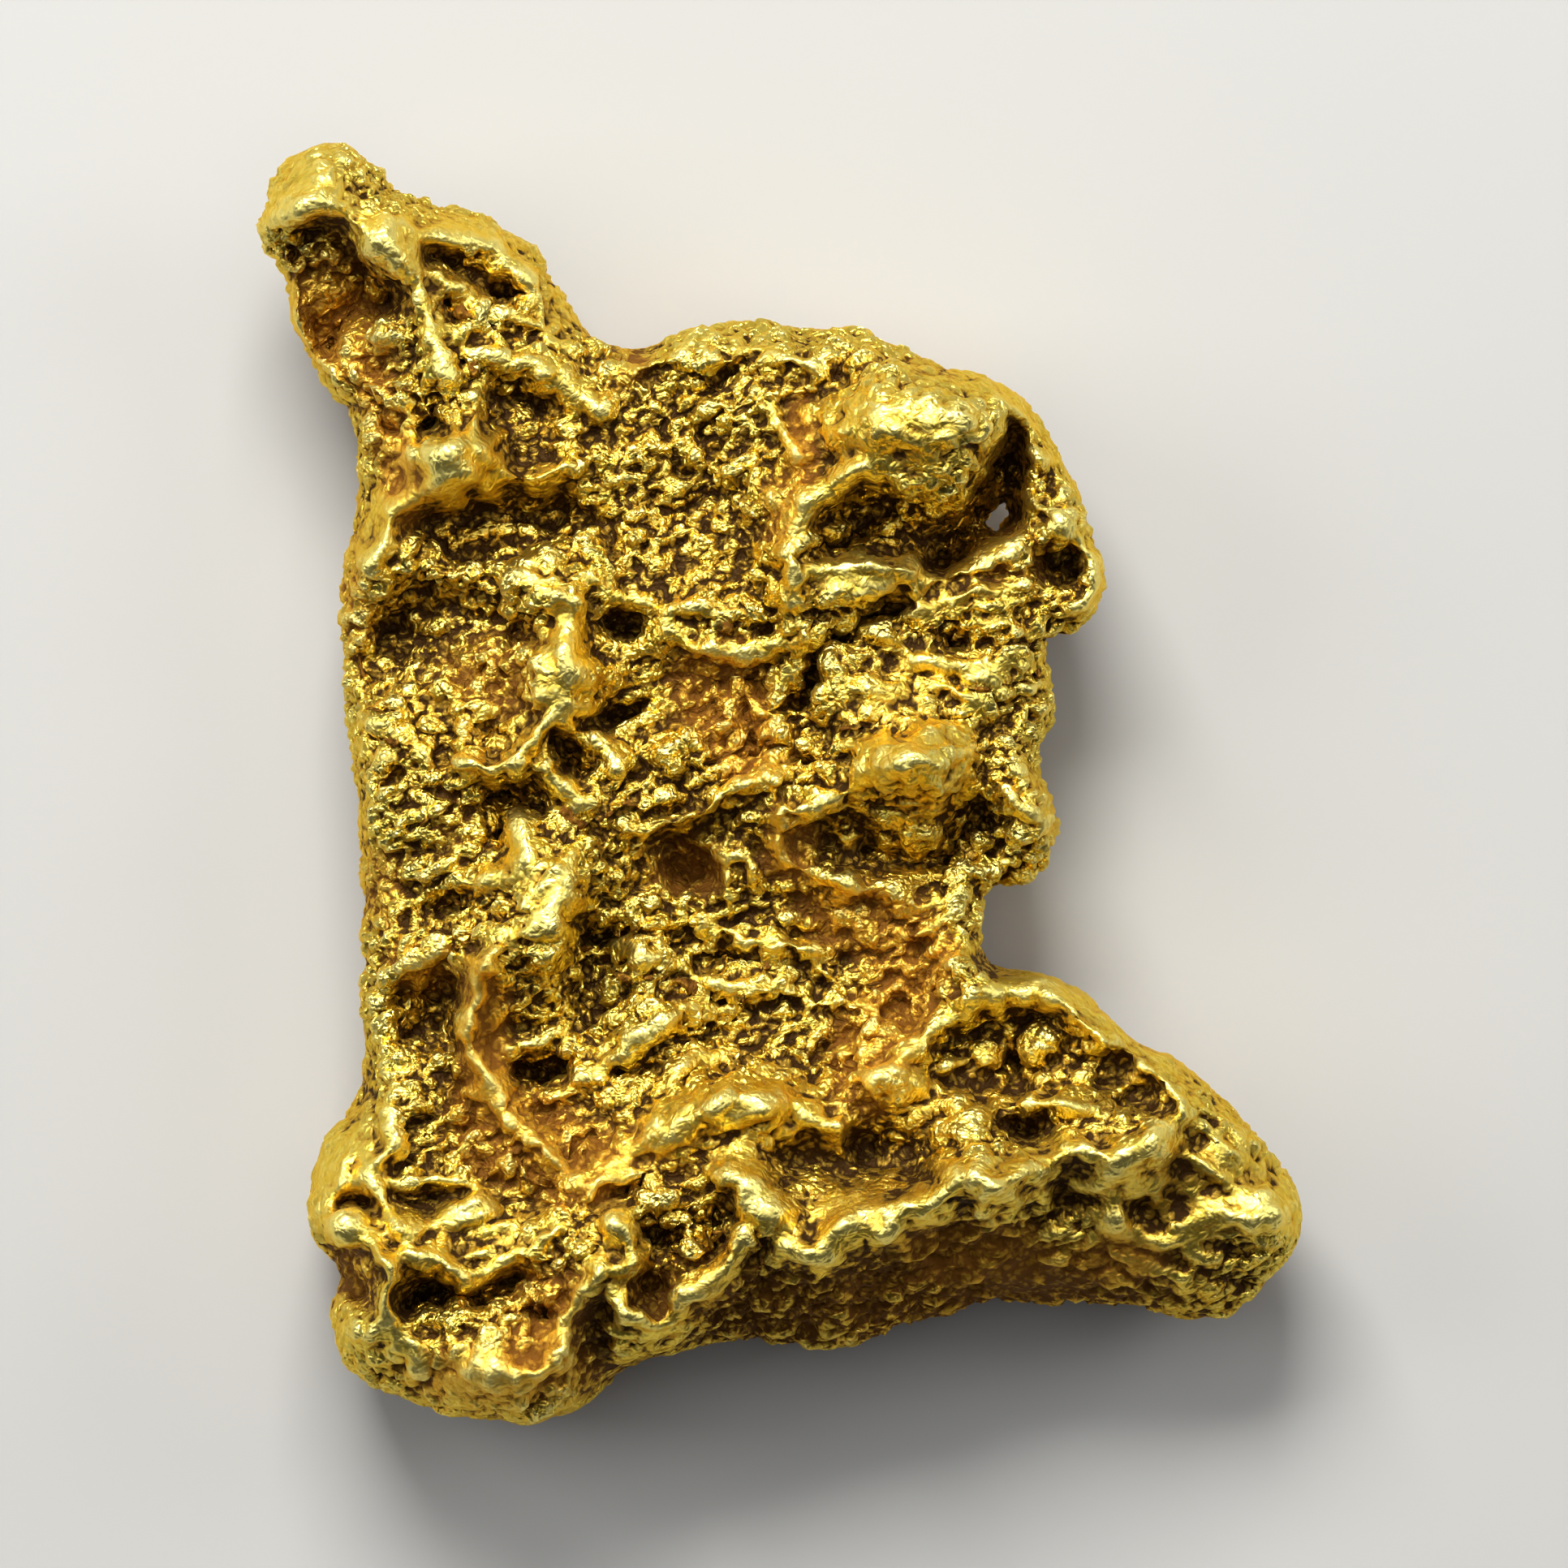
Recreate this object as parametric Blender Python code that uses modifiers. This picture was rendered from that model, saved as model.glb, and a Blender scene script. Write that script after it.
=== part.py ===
"""A natural gold nugget: one water-worn, hackly slab of native gold, lying on its broad back.

The nugget is laid out in millimetres on a plan whose corner is the lower left of its outline:
x runs to the right, y runs up the plan towards the horn, and z is the height above the surface
that it rests on. The last step scales it to metres and centres it on the origin.
"""

import math

import bmesh
import bpy
import numpy as np
from mathutils import Matrix, Vector, noise

MM = 0.001
LENGTH = 31.4  # real length in millimetres, horn to heel: the whole nugget is scaled to it
MAX_TRIANGLES = 9600

SLAB_VOXEL = 0.14  # grid of the slab that the relief is pressed into
SLAB_HALF = 1.0  # half of the slab's thickness, before the relief
SKIN_VOXEL = 0.13  # grid of the closed skin that the lumps and pits are worked on
POINTS_PER_SPAN = 6  # points that round each span of a smooth line
WELD = 1e-4  # points this close become one
FLAT_BAND = 0.06  # what lies this close to the ground is worn flat

SPOT_SOFTNESS = 0.8  # radius within which a spot's height holds
SPOT_FALLOFF = 2.5  # how quickly a spot gives way to its neighbours
WALL_OUTSIDE = 0.35  # share of a hollow's wall that lies outside its outline
MOUND_EDGE = 1.5  # over 1, a mound is flatter on top and steeper at its edge

GOLD = (0.83, 0.58, 0.16, 1.0)
GOLD_ROUGHNESS = 0.38

# The silhouette seen from above, anticlockwise on the plan from the top of the horn.
OUTLINE = [
    # horn: its blunt knob, then the thin wall of the horn's cavity
    (1.9, 31.4), (1.1, 31.25), (0.4, 30.7), (0.05, 30.1), (0.0, 29.3), (0.25, 28.55), (0.65, 27.95),
    (0.65, 27.2), (0.95, 26.4), (1.4, 25.65), (2.15, 24.9), (2.4, 24.3),
    # long left side, with one low swelling
    (2.4, 23.0), (2.3, 22.0), (2.0, 21.15), (1.85, 20.0), (2.0, 18.4), (2.15, 17.0), (2.3, 15.4),
    (2.4, 13.8), (2.5, 12.0), (2.5, 10.0), (2.5, 8.5),
    # heel: two lobes with a bite between them
    (2.2, 7.65), (1.5, 6.9), (1.2, 6.1), (1.1, 5.15), (1.3, 4.35), (1.85, 3.8), (1.8, 3.15),
    (1.6, 2.55), (1.85, 1.75), (2.65, 1.0), (4.0, 0.35), (5.4, 0.05), (6.6, 0.0), (7.7, 0.45),
    # foot of the lower wall
    (8.6, 1.2), (10.0, 1.8), (11.6, 2.05), (13.2, 1.95), (14.3, 1.9), (15.2, 2.3), (16.6, 2.6),
    (17.7, 3.0), (20.0, 3.0), (21.4, 2.7), (22.8, 2.55), (24.1, 2.95),
    # toe, and the long slope back up to the notch
    (25.05, 3.9), (25.45, 4.9), (25.15, 5.8), (24.35, 7.05), (23.4, 8.0), (22.3, 8.9), (21.6, 9.15),
    (20.4, 10.2), (19.4, 10.85), (18.2, 11.05), (17.6, 11.5), (17.6, 12.8),
    # right side above the notch: three small lobes
    (17.85, 13.2), (18.8, 13.45), (19.4, 14.2), (19.4, 15.1), (18.9, 16.1), (19.05, 16.85),
    (19.4, 17.9), (19.1, 18.65), (19.3, 19.3), (20.2, 19.6), (20.65, 20.5),
    # brow and upper edge, back to the horn
    (20.4, 21.8), (19.75, 23.35), (18.9, 24.7), (17.9, 25.55), (16.2, 26.1), (14.6, 26.7),
    (12.6, 26.8), (10.8, 26.9), (9.7, 26.5), (8.9, 26.35), (7.9, 26.9), (7.1, 27.95), (6.4, 28.95),
    (5.3, 29.55), (4.1, 29.9), (3.3, 30.2), (2.4, 31.0),
]  # fmt: skip

# Heights of the upper surface (x, y, z), area by area, before crests and hollows are worked in.
FACE_HEIGHTS = [
    # horn
    (1.3, 30.2, 5.7), (2.8, 29.2, 5.7), (4.6, 29.2, 5.2), (6.2, 28.2, 4.7), (5.4, 27.4, 4.9),
    (3.8, 26.6, 5.3), (1.8, 26.6, 4.4), (1.3, 28.4, 4.8), (6.4, 26.0, 4.9), (7.8, 26.6, 4.2),
    # shoulder below the horn
    (4.6, 23.8, 5.9), (3.0, 23.8, 5.0), (6.4, 24.2, 5.0), (8.2, 25.4, 4.5), (5.4, 22.2, 4.9),
    (3.0, 21.8, 5.2), (7.4, 22.2, 4.6),
    # upper middle, a shallow dish
    (9.8, 25.0, 4.7), (11.0, 26.2, 4.9), (10.4, 23.0, 4.6), (12.2, 24.2, 5.2), (13.4, 26.0, 5.3),
    (11.4, 21.4, 5.0), (9.0, 21.0, 5.0), (11.4, 19.8, 5.5),
    # brow dome and the thin rim outside it
    (15.2, 24.6, 6.7), (17.0, 24.4, 6.8), (16.0, 23.4, 6.7), (13.4, 23.0, 6.0), (17.6, 25.2, 5.9),
    (19.2, 23.8, 4.7), (19.6, 22.0, 4.9), (13.0, 21.2, 6.1), (14.6, 20.8, 5.9),
    # laminated cheek
    (18.2, 21.0, 5.0), (17.4, 19.8, 5.2), (19.6, 20.2, 4.7), (15.4, 19.2, 5.3), (14.6, 17.8, 5.7),
    (17.4, 17.8, 5.2), (19.0, 17.8, 4.6),
    # nose plate and the small lobes beside it
    (16.0, 16.2, 6.5), (18.0, 15.8, 5.3), (19.0, 15.2, 5.0), (17.8, 14.0, 4.5), (14.2, 14.6, 5.6),
    (13.0, 14.8, 5.9), (15.4, 13.8, 5.0), (16.4, 12.6, 4.8),
    # left side
    (7.2, 20.2, 5.7), (7.4, 18.2, 5.8), (4.6, 20.2, 4.9), (3.0, 19.4, 4.6), (5.4, 17.8, 5.3),
    (3.0, 17.4, 4.8), (3.0, 15.4, 5.2), (6.2, 16.6, 5.8), (5.4, 15.0, 5.1), (4.6, 13.4, 5.2),
    (3.0, 13.0, 4.6), (3.0, 9.4, 4.8), (4.2, 10.6, 4.9),
    # middle
    (8.6, 19.8, 5.0), (10.0, 18.0, 4.7), (9.0, 17.4, 4.8), (11.4, 18.0, 4.7), (10.4, 15.8, 5.3),
    (12.4, 17.0, 5.0), (7.8, 15.4, 5.3), (10.4, 13.6, 4.7), (12.6, 13.6, 4.8), (7.0, 13.8, 6.0),
    (6.6, 11.8, 6.2), (5.4, 10.4, 5.9),
    # lower middle, the broad rough dish
    (8.4, 11.6, 4.9), (10.8, 11.4, 4.4), (13.4, 11.8, 4.4), (15.4, 11.0, 4.4), (9.4, 9.8, 5.2),
    (7.4, 9.4, 5.0), (11.4, 9.4, 4.6), (13.4, 9.2, 4.8), (17.2, 11.0, 5.3), (5.4, 8.4, 5.3),
    (3.8, 7.4, 5.2), (7.0, 8.4, 5.0), (8.6, 7.4, 5.7), (11.4, 7.6, 6.6), (15.2, 8.4, 5.8),
    # lower edge, the highest part, and the foot that runs out to the toe
    (13.4, 6.6, 5.9), (15.4, 7.0, 5.7), (18.4, 9.2, 5.5), (19.4, 10.6, 5.7), (20.8, 9.2, 5.6),
    (21.4, 8.2, 5.6), (19.0, 7.8, 5.9), (17.8, 6.4, 7.1), (21.0, 6.8, 6.6), (23.0, 7.0, 5.5),
    (24.6, 5.4, 4.9), (22.4, 4.6, 5.2), (15.4, 5.4, 6.9), (13.4, 5.0, 6.9), (11.4, 5.0, 6.8),
    (9.8, 4.2, 6.9), (19.6, 4.4, 5.6), (17.0, 4.2, 6.2),
    # heel
    (2.2, 6.6, 5.5), (2.2, 5.0, 5.8), (4.6, 5.8, 5.6), (6.2, 5.8, 5.5), (3.4, 4.2, 6.5),
    (5.8, 4.4, 6.2), (7.8, 4.4, 6.6), (4.6, 3.0, 6.4), (2.4, 2.2, 5.7), (3.4, 1.4, 5.4),
    (5.8, 1.8, 6.4), (7.8, 2.6, 6.3), (9.4, 3.0, 6.5),
]  # fmt: skip

# Heights of the underside (x, y, z). Below zero stands for a pad that is worn flat on the ground.
UNDERSIDE_HEIGHTS = [
    (1.6, 29.6, 3.1), (3.5, 28.0, 2.0), (5.8, 27.4, 1.3), (4.0, 24.6, -0.3), (8.2, 24.6, 0.7),
    (11.6, 25.4, 0.9), (15.4, 24.4, -0.3), (18.6, 23.6, 1.6), (19.4, 20.6, 2.0), (13.0, 22.0, 0.6),
    (16.4, 20.4, 0.5), (9.6, 21.4, 0.3), (4.0, 20.4, 1.0), (6.6, 18.6, 0.3), (10.4, 18.4, 0.4),
    (14.6, 18.0, 0.6), (18.0, 17.2, 1.4), (4.0, 16.0, 0.9), (8.0, 15.2, -0.3), (11.8, 15.0, -0.35),
    (15.2, 14.6, 0.9), (17.8, 14.4, 2.0), (4.2, 12.0, 0.6), (8.6, 12.0, 0.2), (12.4, 11.6, 0.6),
    (16.0, 11.4, 1.3), (4.0, 8.6, 0.4), (8.0, 8.2, 0.8), (12.2, 8.0, 0.4), (16.4, 8.0, 0.8),
    (20.2, 8.4, 1.3), (3.4, 4.6, -0.3), (6.6, 3.8, -0.2), (10.4, 4.2, 0.7), (14.4, 4.2, 0.4),
    (18.4, 5.2, -0.2), (21.6, 5.4, -0.35), (24.2, 5.2, 1.6), (4.6, 1.2, 1.4),
]  # fmt: skip

# Width of the rounded shoulder between the silhouette and the upper surface (x, y, width).
SHOULDERS = [
    (1.0, 30.0, 1.0), (1.0, 27.0, 0.5), (2.2, 20.0, 0.9), (2.4, 11.0, 0.8), (1.4, 5.6, 1.1),
    (1.8, 2.4, 1.1), (5.0, 0.3, 1.1), (8.6, 1.4, 1.3), (12.6, 2.2, 2.9), (16.4, 2.8, 2.9),
    (20.0, 3.2, 2.4), (23.6, 3.0, 2.2), (25.2, 5.0, 1.3), (23.4, 7.6, 0.9), (20.4, 10.0, 0.6),
    (17.8, 12.0, 0.7), (19.2, 14.6, 0.9), (19.2, 18.0, 0.8), (20.4, 21.0, 0.6), (18.6, 24.8, 0.7),
    (14.0, 26.6, 0.9), (9.8, 26.4, 0.8), (6.8, 28.2, 0.8), (4.0, 29.8, 0.9),
]  # fmt: skip
UNDER_SHOULDER = 1.6
THINNEST = 1.1  # the least thickness under a hollow, away from the one hole

# Height above the ground of the silhouette's edge, where upper surface and underside meet (x, y, z).
EDGE_HEIGHTS = [
    (1.0, 30.4, 4.1), (0.8, 27.4, 3.2), (2.2, 24.0, 2.6), (2.0, 20.0, 2.4), (2.4, 15.0, 3.0),
    (2.5, 10.0, 2.3), (1.2, 6.0, 3.3), (1.6, 2.6, 3.0), (4.0, 0.4, 2.7), (6.6, 0.0, 3.3),
    (8.6, 1.2, 2.6), (11.6, 2.0, 1.8), (15.2, 2.3, 1.6), (18.6, 3.0, 1.7), (22.8, 2.6, 2.0),
    (25.4, 4.9, 3.2), (23.6, 7.8, 3.5), (20.4, 10.2, 3.2), (17.6, 12.0, 2.6), (19.4, 14.4, 3.4),
    (19.0, 17.0, 2.7), (20.6, 20.4, 3.5), (19.4, 24.0, 3.2), (15.6, 26.4, 2.8), (10.8, 26.9, 2.4),
    (7.4, 27.4, 2.9), (4.1, 29.9, 3.5),
]  # fmt: skip

# Raised crests of the upper surface: half width, height, line.
CRESTS = {
    "horn": (
        0.42, 0.6,
        [(0.4, 29.75), (1.4, 29.65), (2.4, 29.3), (3.4, 28.4), (3.8, 27.6), (4.2, 26.6), (4.5, 25.8)],
    ),
    "horn branch": (0.3, 0.35, [(3.5, 28.8), (4.2, 28.0), (5.4, 27.7)]),
    "horn to shoulder": (0.35, 0.5, [(4.3, 27.0), (5.0, 26.5), (6.4, 26.0), (7.4, 25.4), (8.3, 24.8)]),
    "shoulder hook": (0.3, 0.5, [(5.3, 25.4), (5.4, 24.0), (5.9, 23.3), (6.8, 23.15), (7.4, 23.5)]),
    "shoulder ledge": (0.45, 0.5, [(2.8, 21.4), (3.3, 22.3), (4.4, 22.85), (5.8, 23.05), (7.0, 23.1)]),
    "brow stem": (
        0.36, 0.7,
        [(14.6, 23.2), (13.6, 22.7), (12.9, 22.1), (13.1, 21.0), (13.0, 20.0), (13.2, 19.2)],
    ),
    "pocket sill": (0.4, 0.5, [(13.2, 21.0), (14.4, 21.05), (16.0, 21.0)]),
    "dish lip upper": (0.25, 0.35, [(9.8, 19.6), (10.2, 19.9), (11.2, 19.85)]),
    "dish lip lower": (
        0.3, 0.5,
        [(9.8, 19.4), (10.6, 19.05), (11.8, 18.9), (12.6, 19.0), (13.1, 19.2)],
    ),
    "diagonal": (0.26, 0.7, [(9.0, 14.5), (10.0, 14.65), (10.8, 15.1), (11.6, 15.6), (12.6, 15.95)]),
    "nose bridge": (0.32, 0.5, [(12.6, 14.8), (13.4, 15.2), (14.4, 15.5), (15.0, 16.0)]),
    "nose fold": (0.26, 0.5, [(12.6, 14.2), (13.2, 13.5), (14.2, 13.3), (15.2, 13.0), (16.0, 12.7)]),
    "cheek lamina 1": (0.2, 0.4, [(16.3, 20.6), (17.4, 21.1), (18.4, 21.7)]),
    "cheek lamina 2": (0.22, 0.35, [(15.9, 20.0), (17.2, 20.3), (18.6, 20.6)]),
    "cheek lamina 3": (0.3, 0.35, [(16.0, 18.8), (17.2, 18.6), (18.4, 18.7)]),
    "left swell": (0.5, 0.5, [(6.4, 21.0), (7.3, 20.3), (7.5, 19.0), (7.7, 18.0), (7.3, 17.3)]),
    "left loop": (
        0.3, 0.6,
        [(4.9, 16.2), (5.8, 16.05), (6.5, 16.5), (7.0, 17.2), (8.0, 17.0), (8.6, 16.2)],
    ),
    "left loop branch": (0.26, 0.45, [(6.8, 16.1), (7.4, 15.6), (7.8, 15.2)]),
    "left hook": (0.32, 0.5, [(6.3, 14.8), (6.26, 13.9), (5.4, 13.25)]),
    "stained rib": (
        0.34, 0.7,
        [(5.6, 11.8), (5.2, 10.8), (5.0, 9.8), (5.3, 8.8), (5.8, 7.8), (6.6, 7.0), (7.4, 6.2)],
    ),
    "lower left diagonal": (0.3, 0.55, [(7.2, 8.1), (8.2, 8.8), (9.1, 9.6), (10.2, 10.1)]),
    "dish crest upper": (0.24, 0.45, [(10.8, 12.3), (12.0, 11.8), (13.2, 11.7), (13.8, 11.1)]),
    "dish crest lower": (0.26, 0.5, [(8.8, 11.7), (10.4, 11.1), (11.4, 10.7), (12.8, 10.8)]),
    "arch": (
        0.6, 0.7,
        [(8.2, 6.0), (9.2, 6.8), (10.4, 7.5), (11.4, 7.95), (12.8, 8.1), (13.6, 7.75), (14.0, 7.2)],
    ),
    "lower wall": (
        0.55, 0.9,
        [(11.6, 6.0), (12.6, 5.0), (13.6, 4.0), (14.4, 4.9), (15.8, 5.0), (16.9, 6.0), (18.0, 6.0),
         (19.6, 6.6), (20.8, 6.5), (22.2, 7.1)],
    ),
    "foot": (
        0.36, 0.8,
        [(15.6, 9.2), (16.6, 9.8), (17.8, 10.55), (19.0, 10.75), (20.2, 10.0), (21.4, 9.0),
         (22.2, 8.3), (22.6, 7.5)],
    ),
    "toe": (0.5, 0.5, [(20.8, 5.0), (22.0, 4.4), (23.0, 4.8), (24.6, 5.4), (25.2, 5.0)]),
    "heel upper": (0.32, 0.6, [(3.1, 7.8), (3.15, 7.0), (2.8, 6.2), (2.95, 5.4)]),
    "heel spine": (0.38, 0.9, [(1.4, 5.0), (2.4, 4.6), (3.2, 3.7), (3.15, 2.6), (3.7, 1.6)]),
    "heel pit rim": (0.26, 0.5, [(2.96, 5.4), (3.4, 4.8), (4.2, 4.9), (5.2, 5.4)]),
    "heel ledge": (0.3, 0.5, [(3.6, 4.3), (4.5, 3.76), (5.0, 3.44), (5.8, 3.76), (6.7, 4.2)]),
    "heel to loop": (0.4, 0.7, [(7.2, 1.8), (7.5, 2.7), (8.3, 3.5), (8.8, 3.9)]),
    "heel loop": (
        0.38, 0.8,
        [(8.6, 5.3), (8.9, 4.2), (8.7, 3.2), (9.4, 2.5), (10.1, 2.5), (10.5, 3.2), (11.2, 3.7),
         (11.7, 4.6)],
    ),
}  # fmt: skip

# Hollows of the upper surface: depth, width of the sloping wall, outline.
HOLLOWS = {
    "horn cavity": (
        2.0, 0.5,
        [(0.75, 29.1), (1.4, 29.4), (2.2, 29.1), (2.4, 28.6), (3.2, 28.0), (3.4, 27.5), (3.0, 27.0),
         (2.3, 27.0), (2.0, 26.2), (1.4, 26.2), (1.05, 26.8), (0.9, 27.8), (0.9, 28.4)],
    ),
    "horn trough": (
        0.9, 0.3,
        [(3.9, 28.75), (4.6, 28.75), (5.4, 28.3), (6.3, 28.0), (6.3, 27.6), (5.4, 27.5), (4.9, 27.9),
         (4.2, 28.3)],
    ),
    "shoulder hook": (
        0.8, 0.3,
        [(5.5, 25.2), (6.2, 25.6), (7.2, 25.2), (7.4, 24.4), (7.2, 23.5), (6.4, 23.2), (5.8, 23.5),
         (5.5, 24.2)],
    ),
    "below the ledge": (
        1.0, 0.35,
        [(3.4, 22.2), (4.2, 22.6), (5.4, 22.85), (6.6, 22.9), (7.4, 23.0), (8.0, 22.6), (7.8, 21.8),
         (6.4, 21.2), (4.6, 21.2), (3.6, 21.6)],
    ),
    "left bowl": (
        1.1, 0.55,
        [(2.5, 19.8), (2.8, 20.3), (3.8, 20.6), (4.6, 20.6), (5.8, 20.2), (6.6, 19.6), (6.8, 19.0),
         (5.4, 19.0), (4.6, 18.2), (3.4, 18.0), (2.5, 18.2), (2.4, 19.0)],
    ),
    "small bowl": (0.9, 0.35, [(8.3, 19.9), (9.0, 20.1), (9.4, 19.6), (9.1, 19.2), (8.4, 19.3)]),
    "slit": (
        1.0, 0.25,
        [(7.6, 17.4), (8.0, 17.4), (8.8, 17.6), (9.4, 17.75), (9.2, 17.3), (8.4, 16.9), (7.9, 16.9)],
    ),
    "brow pocket": (
        2.5, 0.45,
        [(13.5, 21.8), (13.9, 22.4), (14.6, 22.9), (15.6, 23.0), (16.4, 22.6), (16.8, 22.0),
         (16.0, 21.2), (14.4, 21.2), (13.6, 21.2)],
    ),
    "brow crevice": (
        3.0, 0.5,
        [(16.2, 21.0), (16.6, 22.0), (17.3, 22.8), (18.0, 24.2), (18.3, 24.6), (18.7, 23.8),
         (18.65, 22.6), (18.4, 21.8), (17.4, 21.25), (16.8, 20.9)],
    ),
    "rim bowl": (
        0.9, 0.3,
        [(18.7, 21.2), (19.2, 21.5), (20.0, 21.4), (20.2, 21.1), (19.8, 20.6), (19.1, 20.7)],
    ),
    "below the sill": (
        1.6, 0.3,
        [(13.2, 17.6), (13.15, 18.4), (13.6, 19.2), (14.4, 19.9), (15.6, 20.35), (15.8, 20.0),
         (14.8, 19.5), (14.4, 19.0), (13.8, 18.6), (13.5, 17.8)],
    ),
    "below the nose": (
        1.1, 0.4,
        [(13.2, 14.4), (13.6, 14.8), (14.6, 15.0), (15.4, 14.4), (16.0, 14.1), (16.8, 14.6),
         (17.4, 15.3), (18.0, 15.0), (17.4, 14.0), (16.4, 13.4), (15.4, 13.3), (14.4, 13.6), (13.6, 13.9)],
    ),
    "oval": (
        1.6, 0.3,
        [(9.8, 14.2), (10.6, 14.2), (11.2, 13.6), (11.0, 13.0), (10.2, 13.1), (9.7, 13.6)],
    ),
    "left loop": (0.8, 0.25, [(7.0, 16.9), (7.6, 16.8), (7.9, 16.1), (7.7, 15.6), (7.2, 16.0)]),
    "below the loop": (
        1.2, 0.3,
        [(5.2, 15.7), (6.2, 15.85), (6.9, 15.7), (6.8, 15.0), (6.1, 15.0), (6.0, 14.2), (5.7, 14.0),
         (5.4, 14.8)],
    ),
    "middle left": (
        0.9, 0.4,
        [(7.5, 12.0), (8.2, 12.4), (9.2, 12.0), (8.6, 11.0), (8.2, 9.8), (7.4, 10.2)],
    ),
    "lower left": (1.1, 0.3, [(6.1, 9.0), (7.4, 9.1), (7.6, 8.4), (7.2, 8.1), (6.2, 8.2)]),
    "beside the rib": (
        1.1, 0.4,
        [(3.0, 10.6), (4.0, 11.2), (4.8, 11.0), (4.6, 9.8), (4.8, 9.0), (3.8, 9.0), (3.2, 9.4)],
    ),
    "left groove": (0.7, 0.3, [(3.8, 12.8), (4.8, 13.1), (5.4, 12.8), (5.2, 12.3), (4.0, 12.2)]),
    "under the arch": (
        1.7, 0.4,
        [(12.4, 6.7), (13.0, 7.0), (14.0, 7.1), (14.6, 7.3), (15.6, 7.2), (16.4, 6.8), (16.5, 6.2),
         (15.6, 5.9), (14.4, 6.0), (13.2, 6.2)],
    ),
    "foot pocket": (
        1.3, 0.4,
        [(16.4, 9.2), (17.2, 9.7), (18.2, 10.2), (19.2, 10.3), (20.0, 9.7), (21.4, 8.8), (21.9, 8.2),
         (21.4, 7.8), (20.4, 8.0), (19.2, 8.1), (18.2, 8.0), (17.0, 8.0), (16.4, 8.4)],
    ),
    "toe groove": (
        0.8, 0.5,
        [(19.9, 6.2), (21.2, 6.1), (23.4, 6.0), (24.2, 5.9), (22.8, 5.4), (20.6, 5.5)],
    ),
    "heel bite": (2.0, 0.35, [(1.1, 4.6), (1.9, 4.5), (2.4, 3.9), (2.7, 3.2), (2.2, 3.0), (1.6, 3.0)]),
    "heel cavity": (
        1.6, 0.35,
        [(3.4, 3.5), (4.3, 3.8), (5.0, 3.4), (6.4, 3.9), (6.6, 3.4), (5.2, 2.8), (4.6, 3.0),
         (3.8, 2.6), (3.3, 2.8)],
    ),
    "heel valley": (
        1.4, 0.5,
        [(7.6, 2.2), (8.1, 3.1), (8.6, 2.9), (8.8, 2.2), (8.5, 0.9), (7.9, 0.4), (7.5, 1.2)],
    ),
    "loop cavity": (
        1.6, 0.3,
        [(9.1, 5.0), (9.8, 5.1), (10.3, 4.9), (10.2, 3.8), (10.05, 3.0), (9.4, 2.8), (9.0, 3.2),
         (9.2, 4.2)],
    ),
    "loop side": (1.0, 0.25, [(10.6, 5.2), (11.5, 5.2), (11.4, 4.4), (10.8, 4.1)]),
    "above the loop": (0.8, 0.25, [(8.2, 5.6), (9.4, 5.9), (9.2, 5.4), (8.3, 5.2)]),
}  # fmt: skip

# Round pits of the upper surface: x, y, radius across, radius up, depth.
PITS = [
    (4.1, 24.55, 0.42, 0.42, 1.0),  # shoulder
    (4.7, 27.25, 0.3, 0.26, 0.6),  # horn
    (3.8, 5.45, 0.75, 0.38, 0.7),  # heel
    (2.3, 5.35, 0.4, 0.34, 0.9), (6.75, 2.75, 0.3, 0.35, 0.7),
    (18.4, 8.9, 0.4, 0.5, 0.9),  # floor of the foot pocket
    (18.7, 7.3, 0.5, 0.2, 0.7), (16.9, 19.15, 0.22, 0.22, 0.6),  # cheek
    (16.6, 17.2, 0.25, 0.2, 0.5), (5.7, 16.85, 0.35, 0.28, 0.7),  # left side
]

# Swellings of the upper surface: x, y, radius across, radius up, height.
LUMPS = [
    (1.3, 30.3, 0.9, 0.9, 0.5),  # knob of the horn
    (4.4, 23.5, 1.0, 0.8, 0.5),  # shoulder
    (16.0, 24.3, 2.0, 1.0, 0.8),  # brow
    (15.9, 16.2, 1.2, 0.7, 0.9),  # nose
    (18.9, 15.2, 0.7, 0.8, 0.5), (7.2, 18.1, 0.8, 1.1, 0.4),  # left side
    (6.9, 12.8, 0.8, 1.5, 0.5), (5.7, 11.2, 0.5, 0.6, 0.5),
    (15.2, 8.2, 1.1, 0.5, 0.5),  # between arch and foot
    (17.2, 11.0, 0.6, 0.6, 0.5), (17.8, 5.9, 1.4, 0.7, 0.5),
    (24.6, 5.0, 0.9, 0.9, 0.4),  # toe
    (5.6, 1.7, 1.3, 1.0, 0.6),  # heel
    (2.4, 2.2, 0.7, 0.6, 0.5), (7.8, 4.2, 1.1, 0.9, 0.2),
]

# Hollows of the underside: x, y, radius across, radius up, depth.
UNDERSIDE_PITS = [
    (6.2, 22.0, 1.4, 1.0, 1.1), (12.6, 23.4, 1.2, 0.8, 0.9),
    (17.4, 19.0, 1.0, 1.5, 1.2), (13.6, 19.6, 0.9, 0.7, 0.8),
    (5.4, 13.8, 1.3, 0.9, 0.9), (14.2, 12.8, 1.5, 0.9, 1.1),
    (10.0, 9.4, 1.2, 1.0, 0.9), (5.6, 6.4, 1.0, 1.2, 1.0),
    (15.8, 6.2, 1.3, 0.8, 1.0), (12.2, 3.2, 1.0, 0.6, 0.8),
    (20.4, 7.2, 0.9, 0.7, 0.8),
]

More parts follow.
